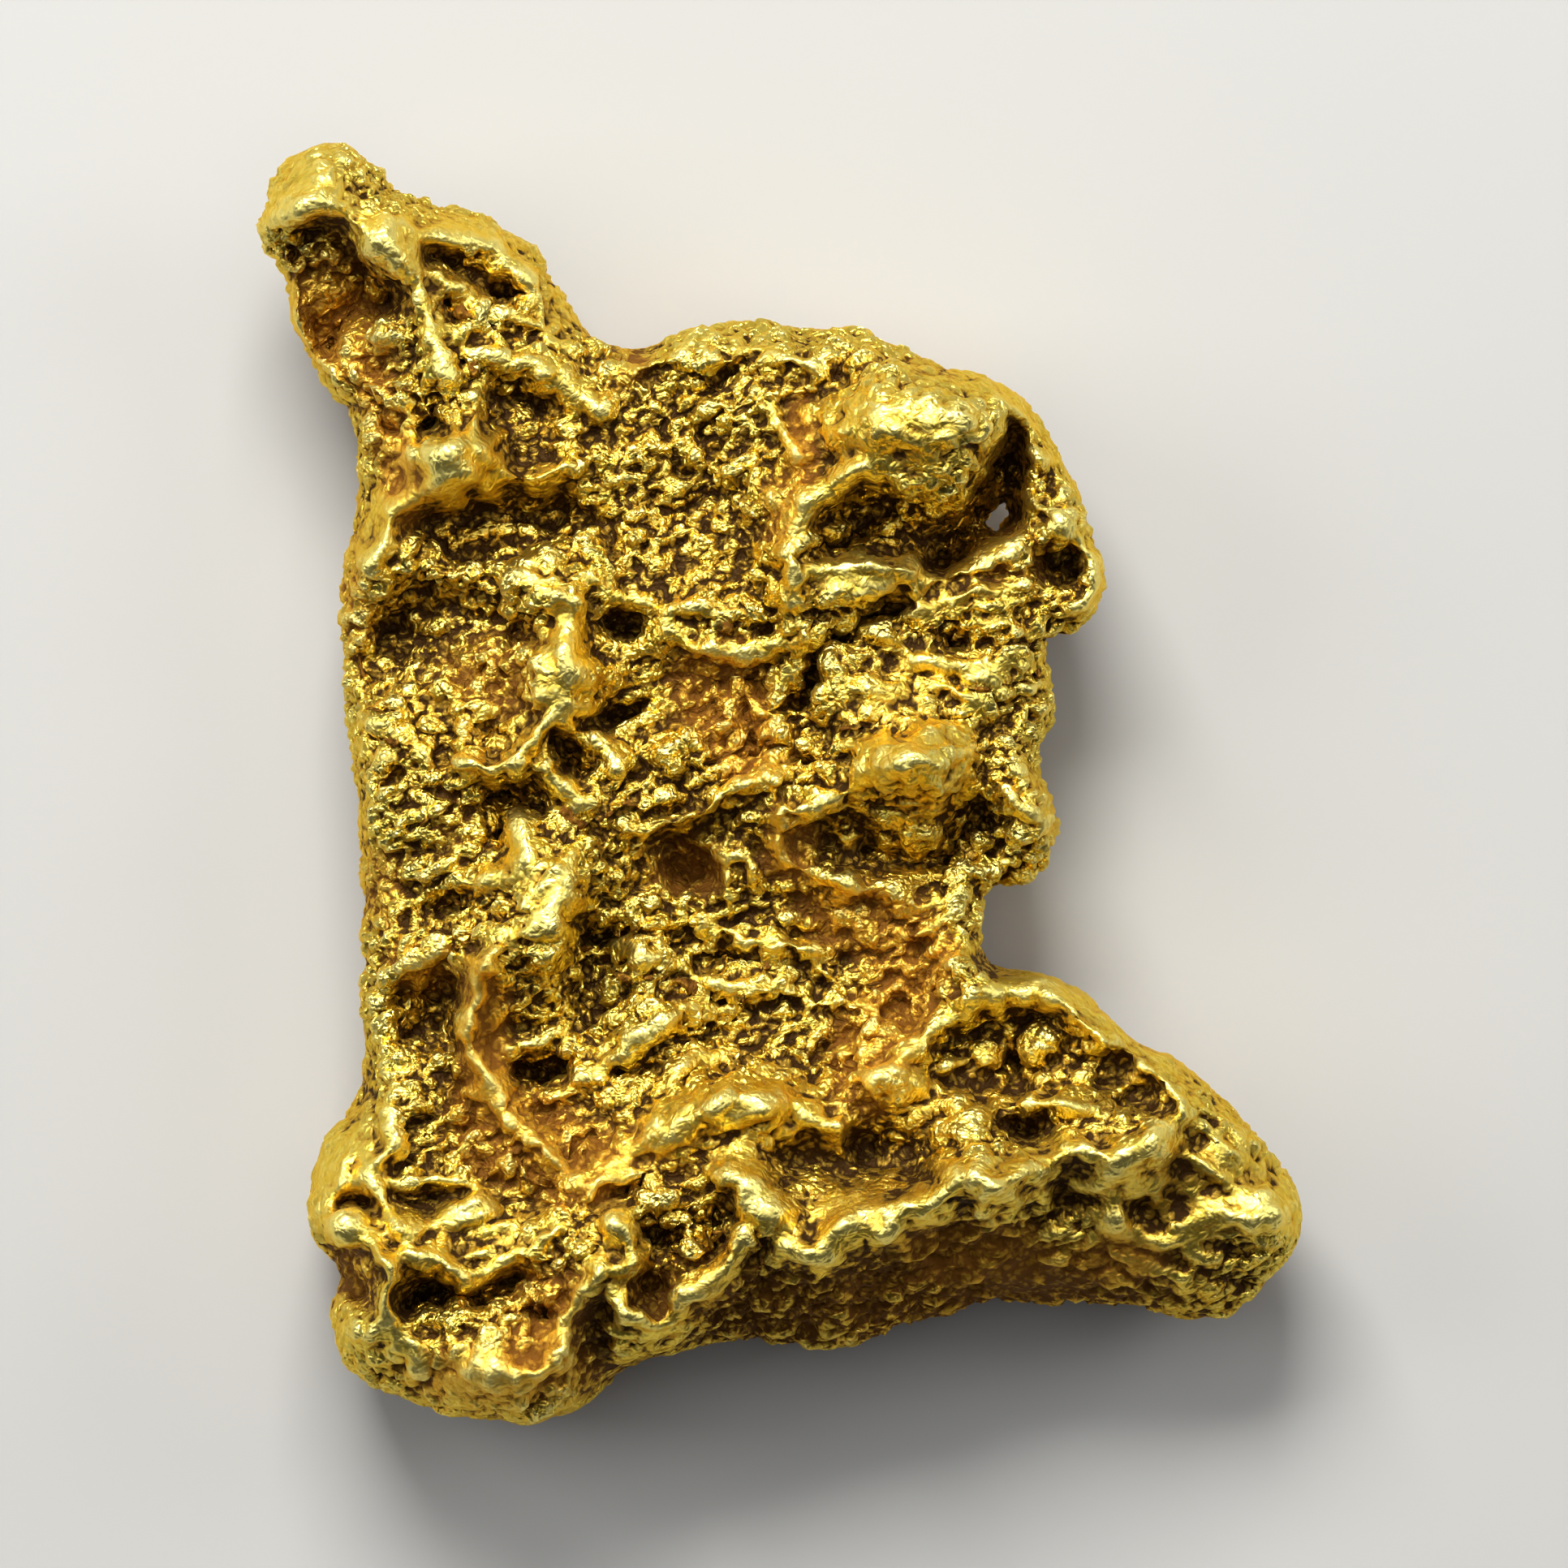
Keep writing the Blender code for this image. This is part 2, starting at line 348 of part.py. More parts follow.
# Crests of the underside: half width, height, line.
UNDERSIDE_CRESTS = [
    (0.4, 0.5, [(7.4, 25.6), (8.4, 23.4), (10.8, 22.4), (12.0, 20.6)]),
    (0.35, 0.45, [(3.2, 18.6), (5.2, 16.4), (7.0, 17.0)]),
    (0.4, 0.5, [(13.2, 16.6), (15.6, 16.2), (17.0, 14.6)]),
    (0.45, 0.5, [(6.2, 10.4), (7.4, 7.6), (9.2, 6.4), (11.6, 6.2)]),
    (0.4, 0.5, [(13.4, 9.8), (16.4, 9.6), (18.6, 9.0), (21.4, 7.4)]),
]

# The one hole that goes right through, between brow and rim.
HOLE_AT = (18.07, 22.3)
HOLE_RADIUS = 0.3
HOLE_STRETCH = 1.5  # length over width
HOLE_LEAN = math.radians(-28)  # of its long side from the y axis
HOLE_SIDES = 20
CUTTER_LENGTH = 20

# Hackly roughness all over: waves per millimetre, height.
ROUGHNESS = [(0.45, 0.16), (1.0, 0.11), (2.1, 0.07)]
UNDERSIDE_ROUGHNESS = 0.7  # of the upper side's

# How much more closely the upper side is kept when the facets are thinned out.
UPPER_SIDE_CARE = 0.9
CARE_FACTOR = 0.004


def clear_scene():
    for obj in list(bpy.data.objects):
        bpy.data.objects.remove(obj)


def smooth_line(points, closed=False):
    """A Catmull-Rom line through the points."""
    points = np.array(points, float)
    if closed:
        ends = [points[-1:], points, points[:2]]
    else:
        ends = [2 * points[:1] - points[1:2], points, 2 * points[-1:] - points[-2:-1]]
    guide = np.concatenate(ends)
    spans = []
    for a, b, c, d in zip(guide, guide[1:], guide[2:], guide[3:]):
        for t in np.arange(POINTS_PER_SPAN) / POINTS_PER_SPAN:
            square = (2 * a - 5 * b + 4 * c - d) * t**2
            cube = (3 * b - a - 3 * c + d) * t**3
            spans.append(0.5 * (2 * b + (c - a) * t + square + cube))
    if not closed:
        spans.append(points[-1])
    return np.array(spans)


def distance_to_line(plan, line, closed=False):
    """How far each point of the plan is from a line."""
    ends = np.roll(line, -1, axis=0) if closed else line[1:]
    starts = line if closed else line[:-1]
    nearest = np.full(len(plan), np.inf)
    for a, b in zip(starts, ends):
        along = b - a
        t = np.clip((plan - a) @ along / max(along @ along, 1e-12), 0, 1)
        nearest = np.minimum(nearest, np.linalg.norm(plan - a - t[:, None] * along, axis=1))
    return nearest


def inside(plan, line):
    """Whether each point of the plan lies within a closed line."""
    within = np.zeros(len(plan), bool)
    for (ax, ay), (bx, by) in zip(line, np.roll(line, -1, axis=0)):
        crosses = (ay > plan[:, 1]) != (by > plan[:, 1])
        with np.errstate(divide="ignore", invalid="ignore"):
            at = ax + (plan[:, 1] - ay) * (bx - ax) / (by - ay)
        within ^= crosses & (plan[:, 0] < at)
    return within


def smooth_step(t):
    t = np.clip(t, 0, 1)
    return t * t * (3 - 2 * t)


def between_spots(plan, spots):
    """The spots' values, blended by nearness."""
    spots = np.array(spots, float)
    gap = ((plan[:, None, :] - spots[None, :, :2]) ** 2).sum(axis=2)
    weight = 1 / (gap + SPOT_SOFTNESS**2) ** SPOT_FALLOFF
    return (weight * spots[:, 2]).sum(axis=1) / weight.sum(axis=1)


def crest_rise(plan, half_width, height, points):
    away = distance_to_line(plan, smooth_line(points))
    return height * np.exp(-((away / half_width) ** 2))


def hollow_fall(plan, depth, wall, points):
    line = smooth_line(points, closed=True)
    away = distance_to_line(plan, line, closed=True)
    inward = np.where(inside(plan, line), away, -away)
    return depth * smooth_step(inward / wall + WALL_OUTSIDE)


def mound(plan, x, y, across, up, height):
    """A round swelling with a soft edge."""
    reach = ((plan[:, 0] - x) / across) ** 2 + ((plan[:, 1] - y) / up) ** 2
    return height * np.exp(-(reach**MOUND_EDGE))


def face_height(plan):
    """Height of the upper surface over each point of the plan."""
    height = between_spots(plan, FACE_HEIGHTS)
    for lump in LUMPS:
        height += mound(plan, *lump)
    for half_width, rise, points in CRESTS.values():
        height += crest_rise(plan, half_width, rise, points)
    for depth, wall, points in HOLLOWS.values():
        height -= hollow_fall(plan, depth, wall, points)
    for pit in PITS:
        height -= mound(plan, *pit)
    return height


def underside_height(plan):
    """Height of the underside over each point of the plan, worn flat where it meets the ground."""
    height = between_spots(plan, UNDERSIDE_HEIGHTS)
    for pit in UNDERSIDE_PITS:
        height += mound(plan, *pit)
    for half_width, rise, points in UNDERSIDE_CRESTS:
        height -= crest_rise(plan, half_width, rise, points)
    return np.maximum(height, 0)


def round_off(inset, width):
    """A quarter of an ellipse, from 0 on the silhouette to 1 at the shoulder's inner side."""
    return np.sqrt(np.clip(1 - (1 - np.clip(inset / width, 0, 1)) ** 2, 0, 1))


def coordinates(mesh):
    points = np.empty(len(mesh.vertices) * 3, np.float32)
    mesh.vertices.foreach_get("co", points)
    return points.reshape(-1, 3).astype(float)


def set_coordinates(mesh, points):
    mesh.vertices.foreach_set("co", points.astype(np.float32).ravel())
    mesh.update()


def bake(obj):
    """Replaces the object's mesh by what its modifiers make of it."""
    bpy.context.view_layer.update()
    made = bpy.data.meshes.new_from_object(obj.evaluated_get(bpy.context.evaluated_depsgraph_get()))
    obj.modifiers.clear()
    obj.data = made


def voxel_remesh(obj, size):
    remesh = obj.modifiers.new("even skin", "REMESH")
    remesh.mode = "VOXEL"
    remesh.voxel_size = size
    bake(obj)


def silhouette_slab(collection):
    """The silhouette as a flat slab."""
    line = smooth_line(OUTLINE, closed=True)
    curve = bpy.data.curves.new("silhouette", "CURVE")
    curve.dimensions = "2D"
    curve.fill_mode = "BOTH"
    curve.extrude = SLAB_HALF
    spline = curve.splines.new("POLY")
    spline.points.add(len(line) - 1)
    for point, (x, y) in zip(spline.points, line):
        point.co = (x, y, 0, 1)
    spline.use_cyclic_u = True
    outline = bpy.data.objects.new("silhouette", curve)
    collection.objects.link(outline)
    bpy.context.view_layer.update()
    mesh = bpy.data.meshes.new_from_object(outline.evaluated_get(bpy.context.evaluated_depsgraph_get()))
    bpy.data.objects.remove(outline)
    weld = bmesh.new()
    weld.from_mesh(mesh)
    bmesh.ops.remove_doubles(weld, verts=weld.verts, dist=WELD)
    weld.to_mesh(mesh)
    weld.free()
    slab = bpy.data.objects.new("nugget", mesh)
    collection.objects.link(slab)
    voxel_remesh(slab, SLAB_VOXEL)
    return slab


def press_relief(slab):
    """Spreads the slab's two faces to the nugget's upper surface and underside."""
    points = coordinates(slab.data)
    plan = points[:, :2]
    side = np.clip(points[:, 2] / SLAB_HALF, -1, 1)
    silhouette = smooth_line(OUTLINE, closed=True)
    inset = np.where(inside(plan, silhouette), distance_to_line(plan, silhouette, closed=True), 0)
    edge = between_spots(plan, EDGE_HEIGHTS)
    underside = underside_height(plan)
    face = np.maximum(face_height(plan), underside + THINNEST)
    above = (face - edge) * round_off(inset, between_spots(plan, SHOULDERS))
    below = (underside - edge) * round_off(inset, UNDER_SHOULDER)
    points[:, 2] = edge + np.where(side > 0, above * side, -below * side)
    set_coordinates(slab.data, points)
    voxel_remesh(slab, SKIN_VOXEL)


def pierce(nugget, cutters):
    """Cuts the small hole through."""
    mesh = bpy.data.meshes.new("hole cutter")
    cutter_mesh = bmesh.new()
    bmesh.ops.create_cone(
        cutter_mesh,
        cap_ends=True,
        segments=HOLE_SIDES,
        radius1=HOLE_RADIUS,
        radius2=HOLE_RADIUS,
        depth=CUTTER_LENGTH,
    )
    cutter_mesh.to_mesh(mesh)
    cutter_mesh.free()
    mesh.transform(Matrix.Diagonal((1, HOLE_STRETCH, 1, 1)))
    mesh.transform(Matrix.Rotation(HOLE_LEAN, 4, "Z"))
    mesh.transform(Matrix.Translation((*HOLE_AT, 0)))
    cutter = bpy.data.objects.new("hole cutter", mesh)
    cutter.hide_render = True
    cutter.display_type = "WIRE"
    cutters.objects.link(cutter)
    cut = nugget.modifiers.new("hole", "BOOLEAN")
    cut.object = cutter
    cut.operation = "DIFFERENCE"
    cut.solver = "EXACT"
    bake(nugget)
    bpy.data.objects.remove(cutter)
    voxel_remesh(nugget, SKIN_VOXEL)


def roughen(nugget):
    """Works hackly roughness into the skin, along its normals."""
    mesh = nugget.data
    points = coordinates(mesh)
    normals = np.array([vertex.normal for vertex in mesh.vertices])
    push = np.zeros(len(points))
    for waves, height in ROUGHNESS:
        push += height * np.array([noise.noise(Vector(p) * waves) for p in points])
    push *= np.where(normals[:, 2] < 0, UNDERSIDE_ROUGHNESS, 1)
    points += normals * push[:, None]
    set_coordinates(mesh, points)


def thin_out(nugget):
    """Keeps the facets where the form needs them, with more of them on the upper surface."""
    thinned = nugget.vertex_groups.new(name="thinned")
    for vertex in nugget.data.vertices:
        upward = smooth_step(0.5 + vertex.normal.z)
        thinned.add([vertex.index], 1 - UPPER_SIDE_CARE * float(upward), "REPLACE")
    decimate = nugget.modifiers.new("facets", "DECIMATE")
    triangles = sum(len(face.vertices) - 2 for face in nugget.data.polygons)
    decimate.ratio = MAX_TRIANGLES / triangles
    decimate.vertex_group = thinned.name
    decimate.vertex_group_factor = CARE_FACTOR
    decimate.use_collapse_triangulate = True
    bake(nugget)
    nugget.vertex_groups.clear()


def wear_flat(nugget):
    """Gives the underside its worn pads: what lies on or below the ground becomes flat."""
    points = coordinates(nugget.data)
    points[points[:, 2] < FLAT_BAND, 2] = 0
    set_coordinates(nugget.data, points)


def gold():
    material = bpy.data.materials.new("native gold")
    material.use_nodes = True
    surface = material.node_tree.nodes["Principled BSDF"]
    surface.inputs["Base Color"].default_value = GOLD
    surface.inputs["Metallic"].default_value = 1.0
    surface.inputs["Roughness"].default_value = GOLD_ROUGHNESS
    return material


def place(nugget):
    """Scales the nugget to metres, with the middle of its base at the origin."""
    points = coordinates(nugget.data)
    low, high = points.min(axis=0), points.max(axis=0)
    middle = (low + high) / 2
    middle[2] = low[2]
    rows = [y for _, y in OUTLINE]
    scale = LENGTH / (max(rows) - min(rows)) * MM
    set_coordinates(nugget.data, (points - middle) * scale)


def main():
    clear_scene()
    parts = bpy.data.collections.new("gold nugget")
    cutters = bpy.data.collections.new("cutters")
    bpy.context.scene.collection.children.link(parts)
    bpy.context.scene.collection.children.link(cutters)
    nugget = silhouette_slab(parts)
    press_relief(nugget)
    pierce(nugget, cutters)
    roughen(nugget)
    wear_flat(nugget)
    thin_out(nugget)
    wear_flat(nugget)
    place(nugget)
    nugget.data.materials.clear()
    nugget.data.materials.append(gold())
    nugget.data.shade_smooth()


main()
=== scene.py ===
"""The gold nugget as it is seen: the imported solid's forms at full detail, in worn and stained gold.

Lengths are in millimetres on the nugget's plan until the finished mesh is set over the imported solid:
x runs right and y up from the lower left corner of the silhouette, and z is height above the ground.
Fine forms are placed by the photograph's pixels, which `on_plan` turns into millimetres.
"""

import math

import bmesh
import bpy
import numpy as np
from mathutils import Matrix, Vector, noise


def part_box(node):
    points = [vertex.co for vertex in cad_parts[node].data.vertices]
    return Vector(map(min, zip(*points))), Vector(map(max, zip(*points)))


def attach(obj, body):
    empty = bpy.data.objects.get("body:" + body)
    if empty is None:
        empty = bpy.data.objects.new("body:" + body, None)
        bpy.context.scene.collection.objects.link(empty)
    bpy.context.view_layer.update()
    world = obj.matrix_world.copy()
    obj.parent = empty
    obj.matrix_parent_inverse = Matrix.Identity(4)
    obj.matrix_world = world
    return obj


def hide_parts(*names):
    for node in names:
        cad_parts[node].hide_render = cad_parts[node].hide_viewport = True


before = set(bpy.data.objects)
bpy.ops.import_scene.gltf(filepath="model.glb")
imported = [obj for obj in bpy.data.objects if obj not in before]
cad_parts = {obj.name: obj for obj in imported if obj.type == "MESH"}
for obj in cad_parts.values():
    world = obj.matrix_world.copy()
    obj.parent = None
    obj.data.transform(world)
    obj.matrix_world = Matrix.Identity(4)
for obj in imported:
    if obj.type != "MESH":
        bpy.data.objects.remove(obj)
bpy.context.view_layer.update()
noise.seed_set(2)  # noise_vector is shifted by the seed, which is taken from the clock if none is set

MM = 0.001
PIXELS_PER_MM = 50.0
PIXEL_LEFT = 328.0  # the photograph's pixel column and row of the plan's corner
PIXEL_BOTTOM = 1750.0
PICTURE = 1932.0  # the photograph's side in pixels

# How the forms below are drawn on the plan.
GRID_STEP = 0.05
GRID_MARGIN = 0.5
POINTS_PER_SPAN = 6  # of a smooth line
SPOT_SOFTNESS, SPOT_FALLOFF = 0.8, 2.5
CREST_FLATNESS = 2.5  # 2 is a bell, and more has a flatter top and steeper sides
MOUND_EDGE = 1.5
WALL_OUTSIDE = 0.35  # share of a hollow's wall that is outside its line

# Crests stand a little higher and wider than the tables say, and hollows have a steep and a softer wall.
CREST_RISE, FINE_CREST_RISE, FINE_CREST_WIDTH = 1.1, 1.15, 1.2
STEEP_SHARE, SOFT_SHARE, SOFT_WALL = 0.5, 0.45, 2.4
FINE_PIT_DEPTH = 0.65
PIT_STAIN, FINE_PIT_STAIN = 1.4, 0.9  # the first per millimetre of depth

# The skin before and after the relief, and the finished mesh.
SLAB_HALF = 1.0
WELD = 1e-4
SLAB_VOXEL = 0.12
SKIN_VOXEL = 0.08
MAX_TRIANGLES = 196000
UPPER_SIDE_CARE = 0.9
CARE_FACTOR = 0.0006

# Silhouette from the top of the horn, anticlockwise.
OUTLINE = [
    (1.9, 31.4), (1.1, 31.25), (0.4, 30.7), (0.05, 30.1), (0.0, 29.3), (0.25, 28.55), (0.65, 27.95),
    (0.65, 27.2), (0.95, 26.4), (1.4, 25.65), (2.15, 24.9), (2.4, 24.3),
    (2.4, 23.0), (2.3, 22.0), (2.0, 21.15), (1.85, 20.0), (2.0, 18.4), (2.15, 17.0), (2.3, 15.4),
    (2.4, 13.8), (2.5, 12.0), (2.5, 10.0), (2.5, 8.5),
    (2.2, 7.65), (1.5, 6.9), (1.2, 6.1), (1.1, 5.15), (1.3, 4.35), (1.85, 3.8), (1.8, 3.15),
    (1.6, 2.55), (1.85, 1.75), (2.65, 1.0), (4.0, 0.35), (5.4, 0.05), (6.6, 0.0), (7.7, 0.45),
    (8.6, 1.2), (10.0, 1.8), (11.6, 2.05), (13.2, 1.95), (14.3, 1.9), (15.2, 2.3), (16.6, 2.6),
    (17.7, 3.0), (20.0, 3.0), (21.4, 2.7), (22.8, 2.55), (24.1, 2.95),
    (25.05, 3.9), (25.45, 4.9), (25.15, 5.8), (24.35, 7.05), (23.4, 8.0), (22.3, 8.9), (21.6, 9.15),
    (20.4, 10.2), (19.4, 10.85), (18.2, 11.05), (17.6, 11.5), (17.6, 12.8),
    (17.85, 13.2), (18.8, 13.45), (19.4, 14.2), (19.4, 15.1), (18.9, 16.1), (19.05, 16.85),
    (19.4, 17.9), (19.1, 18.65), (19.3, 19.3), (20.2, 19.6), (20.65, 20.5),
    (20.4, 21.8), (19.75, 23.35), (18.9, 24.7), (17.9, 25.55), (16.2, 26.1), (14.6, 26.7),
    (12.6, 26.8), (10.8, 26.9), (9.7, 26.5), (8.9, 26.35), (7.9, 26.9), (7.1, 27.95), (6.4, 28.95),
    (5.3, 29.55), (4.1, 29.9), (3.3, 30.2), (2.4, 31.0),
]  # fmt: skip

# Heights of the upper surface (x, y, z) before crests and hollows.
FACE_HEIGHTS = [
    (1.3, 30.2, 5.7), (2.8, 29.2, 5.7), (4.6, 29.2, 5.2), (6.2, 28.2, 4.7), (5.4, 27.4, 4.9),
    (3.8, 26.6, 5.3), (1.8, 26.6, 4.4), (1.3, 28.4, 4.8), (6.4, 26.0, 4.9), (7.8, 26.6, 4.2),
    (4.6, 23.8, 5.9), (3.0, 23.8, 5.0), (6.4, 24.2, 5.0), (8.2, 25.4, 4.5), (5.4, 22.2, 4.9),
    (3.0, 21.8, 5.2), (7.4, 22.2, 4.6),
    (9.8, 25.0, 4.7), (11.0, 26.2, 4.9), (10.4, 23.0, 4.6), (12.2, 24.2, 5.2), (13.4, 26.0, 5.3),
    (11.4, 21.4, 5.0), (9.0, 21.0, 5.0), (11.4, 19.8, 5.5),
    (15.2, 24.6, 6.7), (17.0, 24.4, 6.8), (16.0, 23.4, 6.7), (13.4, 23.0, 6.0), (17.6, 25.2, 5.9),
    (19.2, 23.8, 4.7), (19.6, 22.0, 4.9), (13.0, 21.2, 6.1), (14.6, 20.8, 5.9),
    (18.2, 21.0, 5.0), (17.4, 19.8, 5.2), (19.6, 20.2, 4.7), (15.4, 19.2, 5.3), (14.6, 17.8, 5.7),
    (17.4, 17.8, 5.2), (19.0, 17.8, 4.6),
    (16.0, 16.2, 6.5), (18.0, 15.8, 5.3), (19.0, 15.2, 5.0), (17.8, 14.0, 4.5), (14.2, 14.6, 5.6),
    (13.0, 14.8, 5.9), (15.4, 13.8, 5.0), (16.4, 12.6, 4.8),
    (7.2, 20.2, 5.7), (7.4, 18.2, 5.8), (4.6, 20.2, 4.9), (3.0, 19.4, 4.6), (5.4, 17.8, 5.3),
    (3.0, 17.4, 4.8), (3.0, 15.4, 5.2), (6.2, 16.6, 5.8), (5.4, 15.0, 5.1), (4.6, 13.4, 5.2),
    (3.0, 13.0, 4.6), (3.0, 9.4, 4.8), (4.2, 10.6, 4.9),
    (8.6, 19.8, 5.0), (10.0, 18.0, 4.7), (9.0, 17.4, 4.8), (11.4, 18.0, 4.7), (10.4, 15.8, 5.3),
    (12.4, 17.0, 5.0), (7.8, 15.4, 5.3), (10.4, 13.6, 4.7), (12.6, 13.6, 4.8), (7.0, 13.8, 6.0),
    (6.6, 11.8, 6.2), (5.4, 10.4, 5.9),
    (8.4, 11.6, 4.9), (10.8, 11.4, 4.4), (13.4, 11.8, 4.4), (15.4, 11.0, 4.4), (9.4, 9.8, 5.2),
    (7.4, 9.4, 5.0), (11.4, 9.4, 4.6), (13.4, 9.2, 4.8), (17.2, 11.0, 5.3), (5.4, 8.4, 5.3),
    (3.8, 7.4, 5.2), (7.0, 8.4, 5.0), (8.6, 7.4, 5.7), (11.4, 7.6, 6.6), (15.2, 8.4, 5.8),
    (13.4, 6.6, 5.9), (15.4, 7.0, 5.7), (18.4, 9.2, 5.5), (19.4, 10.6, 5.7), (20.8, 9.2, 5.6),
    (21.4, 8.2, 5.6), (19.0, 7.8, 5.9), (17.8, 6.4, 7.1), (21.0, 6.8, 6.6), (23.0, 7.0, 5.5),
    (24.6, 5.4, 4.9), (22.4, 4.6, 5.2), (15.4, 5.4, 6.9), (13.4, 5.0, 6.9), (11.4, 5.0, 6.8),
    (9.8, 4.2, 6.9), (19.6, 4.4, 5.6), (17.0, 4.2, 6.2),
    (2.2, 6.6, 5.5), (2.2, 5.0, 5.8), (4.6, 5.8, 5.6), (6.2, 5.8, 5.5), (3.4, 4.2, 6.5),
    (5.8, 4.4, 6.2), (7.8, 4.4, 6.6), (4.6, 3.0, 6.4), (2.4, 2.2, 5.7), (3.4, 1.4, 5.4),
    (5.8, 1.8, 6.4), (7.8, 2.6, 6.3), (9.4, 3.0, 6.5),
]  # fmt: skip

# Heights of the underside (x, y, z); below zero is a pad worn flat.
UNDERSIDE_HEIGHTS = [
    (1.6, 29.6, 3.1), (3.5, 28.0, 2.0), (5.8, 27.4, 1.3), (4.0, 24.6, -0.3), (8.2, 24.6, 0.7),
    (11.6, 25.4, 0.9), (15.4, 24.4, -0.3), (18.6, 23.6, 1.6), (19.4, 20.6, 2.0), (13.0, 22.0, 0.6),
    (16.4, 20.4, 0.5), (9.6, 21.4, 0.3), (4.0, 20.4, 1.0), (6.6, 18.6, 0.3), (10.4, 18.4, 0.4),
    (14.6, 18.0, 0.6), (18.0, 17.2, 1.4), (4.0, 16.0, 0.9), (8.0, 15.2, -0.3), (11.8, 15.0, -0.35),
    (15.2, 14.6, 0.9), (17.8, 14.4, 2.0), (4.2, 12.0, 0.6), (8.6, 12.0, 0.2), (12.4, 11.6, 0.6),
    (16.0, 11.4, 1.3), (4.0, 8.6, 0.4), (8.0, 8.2, 0.8), (12.2, 8.0, 0.4), (16.4, 8.0, 0.8),
    (20.2, 8.4, 1.3), (3.4, 4.6, -0.3), (6.6, 3.8, -0.2), (10.4, 4.2, 0.7), (14.4, 4.2, 0.4),
    (18.4, 5.2, -0.2), (21.6, 5.4, -0.35), (24.2, 5.2, 1.6), (4.6, 1.2, 1.4),
]  # fmt: skip

# Width of the shoulder between silhouette and upper surface (x, y, width).
SHOULDERS = [
    (1.0, 30.0, 1.0), (1.0, 27.0, 0.5), (2.2, 20.0, 0.9), (2.4, 11.0, 0.8), (1.4, 5.6, 1.1),
    (1.8, 2.4, 1.1), (5.0, 0.3, 1.1), (8.6, 1.4, 1.3), (12.6, 2.2, 2.9), (16.4, 2.8, 2.9),
    (20.0, 3.2, 2.4), (23.6, 3.0, 2.2), (25.2, 5.0, 1.3), (23.4, 7.6, 0.9), (20.4, 10.0, 0.6),
    (17.8, 12.0, 0.7), (19.2, 14.6, 0.9), (19.2, 18.0, 0.8), (20.4, 21.0, 0.6), (18.6, 24.8, 0.7),
    (14.0, 26.6, 0.9), (9.8, 26.4, 0.8), (6.8, 28.2, 0.8), (4.0, 29.8, 0.9),
]  # fmt: skip
UNDER_SHOULDER = 1.6
THINNEST = 1.1

# Height of the silhouette's edge (x, y, z).
EDGE_HEIGHTS = [
    (1.0, 30.4, 4.1), (0.8, 27.4, 3.2), (2.2, 24.0, 2.6), (2.0, 20.0, 2.4), (2.4, 15.0, 3.0),
    (2.5, 10.0, 2.3), (1.2, 6.0, 3.3), (1.6, 2.6, 3.0), (4.0, 0.4, 2.7), (6.6, 0.0, 3.3),
    (8.6, 1.2, 2.6), (11.6, 2.0, 1.8), (15.2, 2.3, 1.6), (18.6, 3.0, 1.7), (22.8, 2.6, 2.0),
    (25.4, 4.9, 3.2), (23.6, 7.8, 3.5), (20.4, 10.2, 3.2), (17.6, 12.0, 2.6), (19.4, 14.4, 3.4),
    (19.0, 17.0, 2.7), (20.6, 20.4, 3.5), (19.4, 24.0, 3.2), (15.6, 26.4, 2.8), (10.8, 26.9, 2.4),
    (7.4, 27.4, 2.9), (4.1, 29.9, 3.5),
]  # fmt: skip

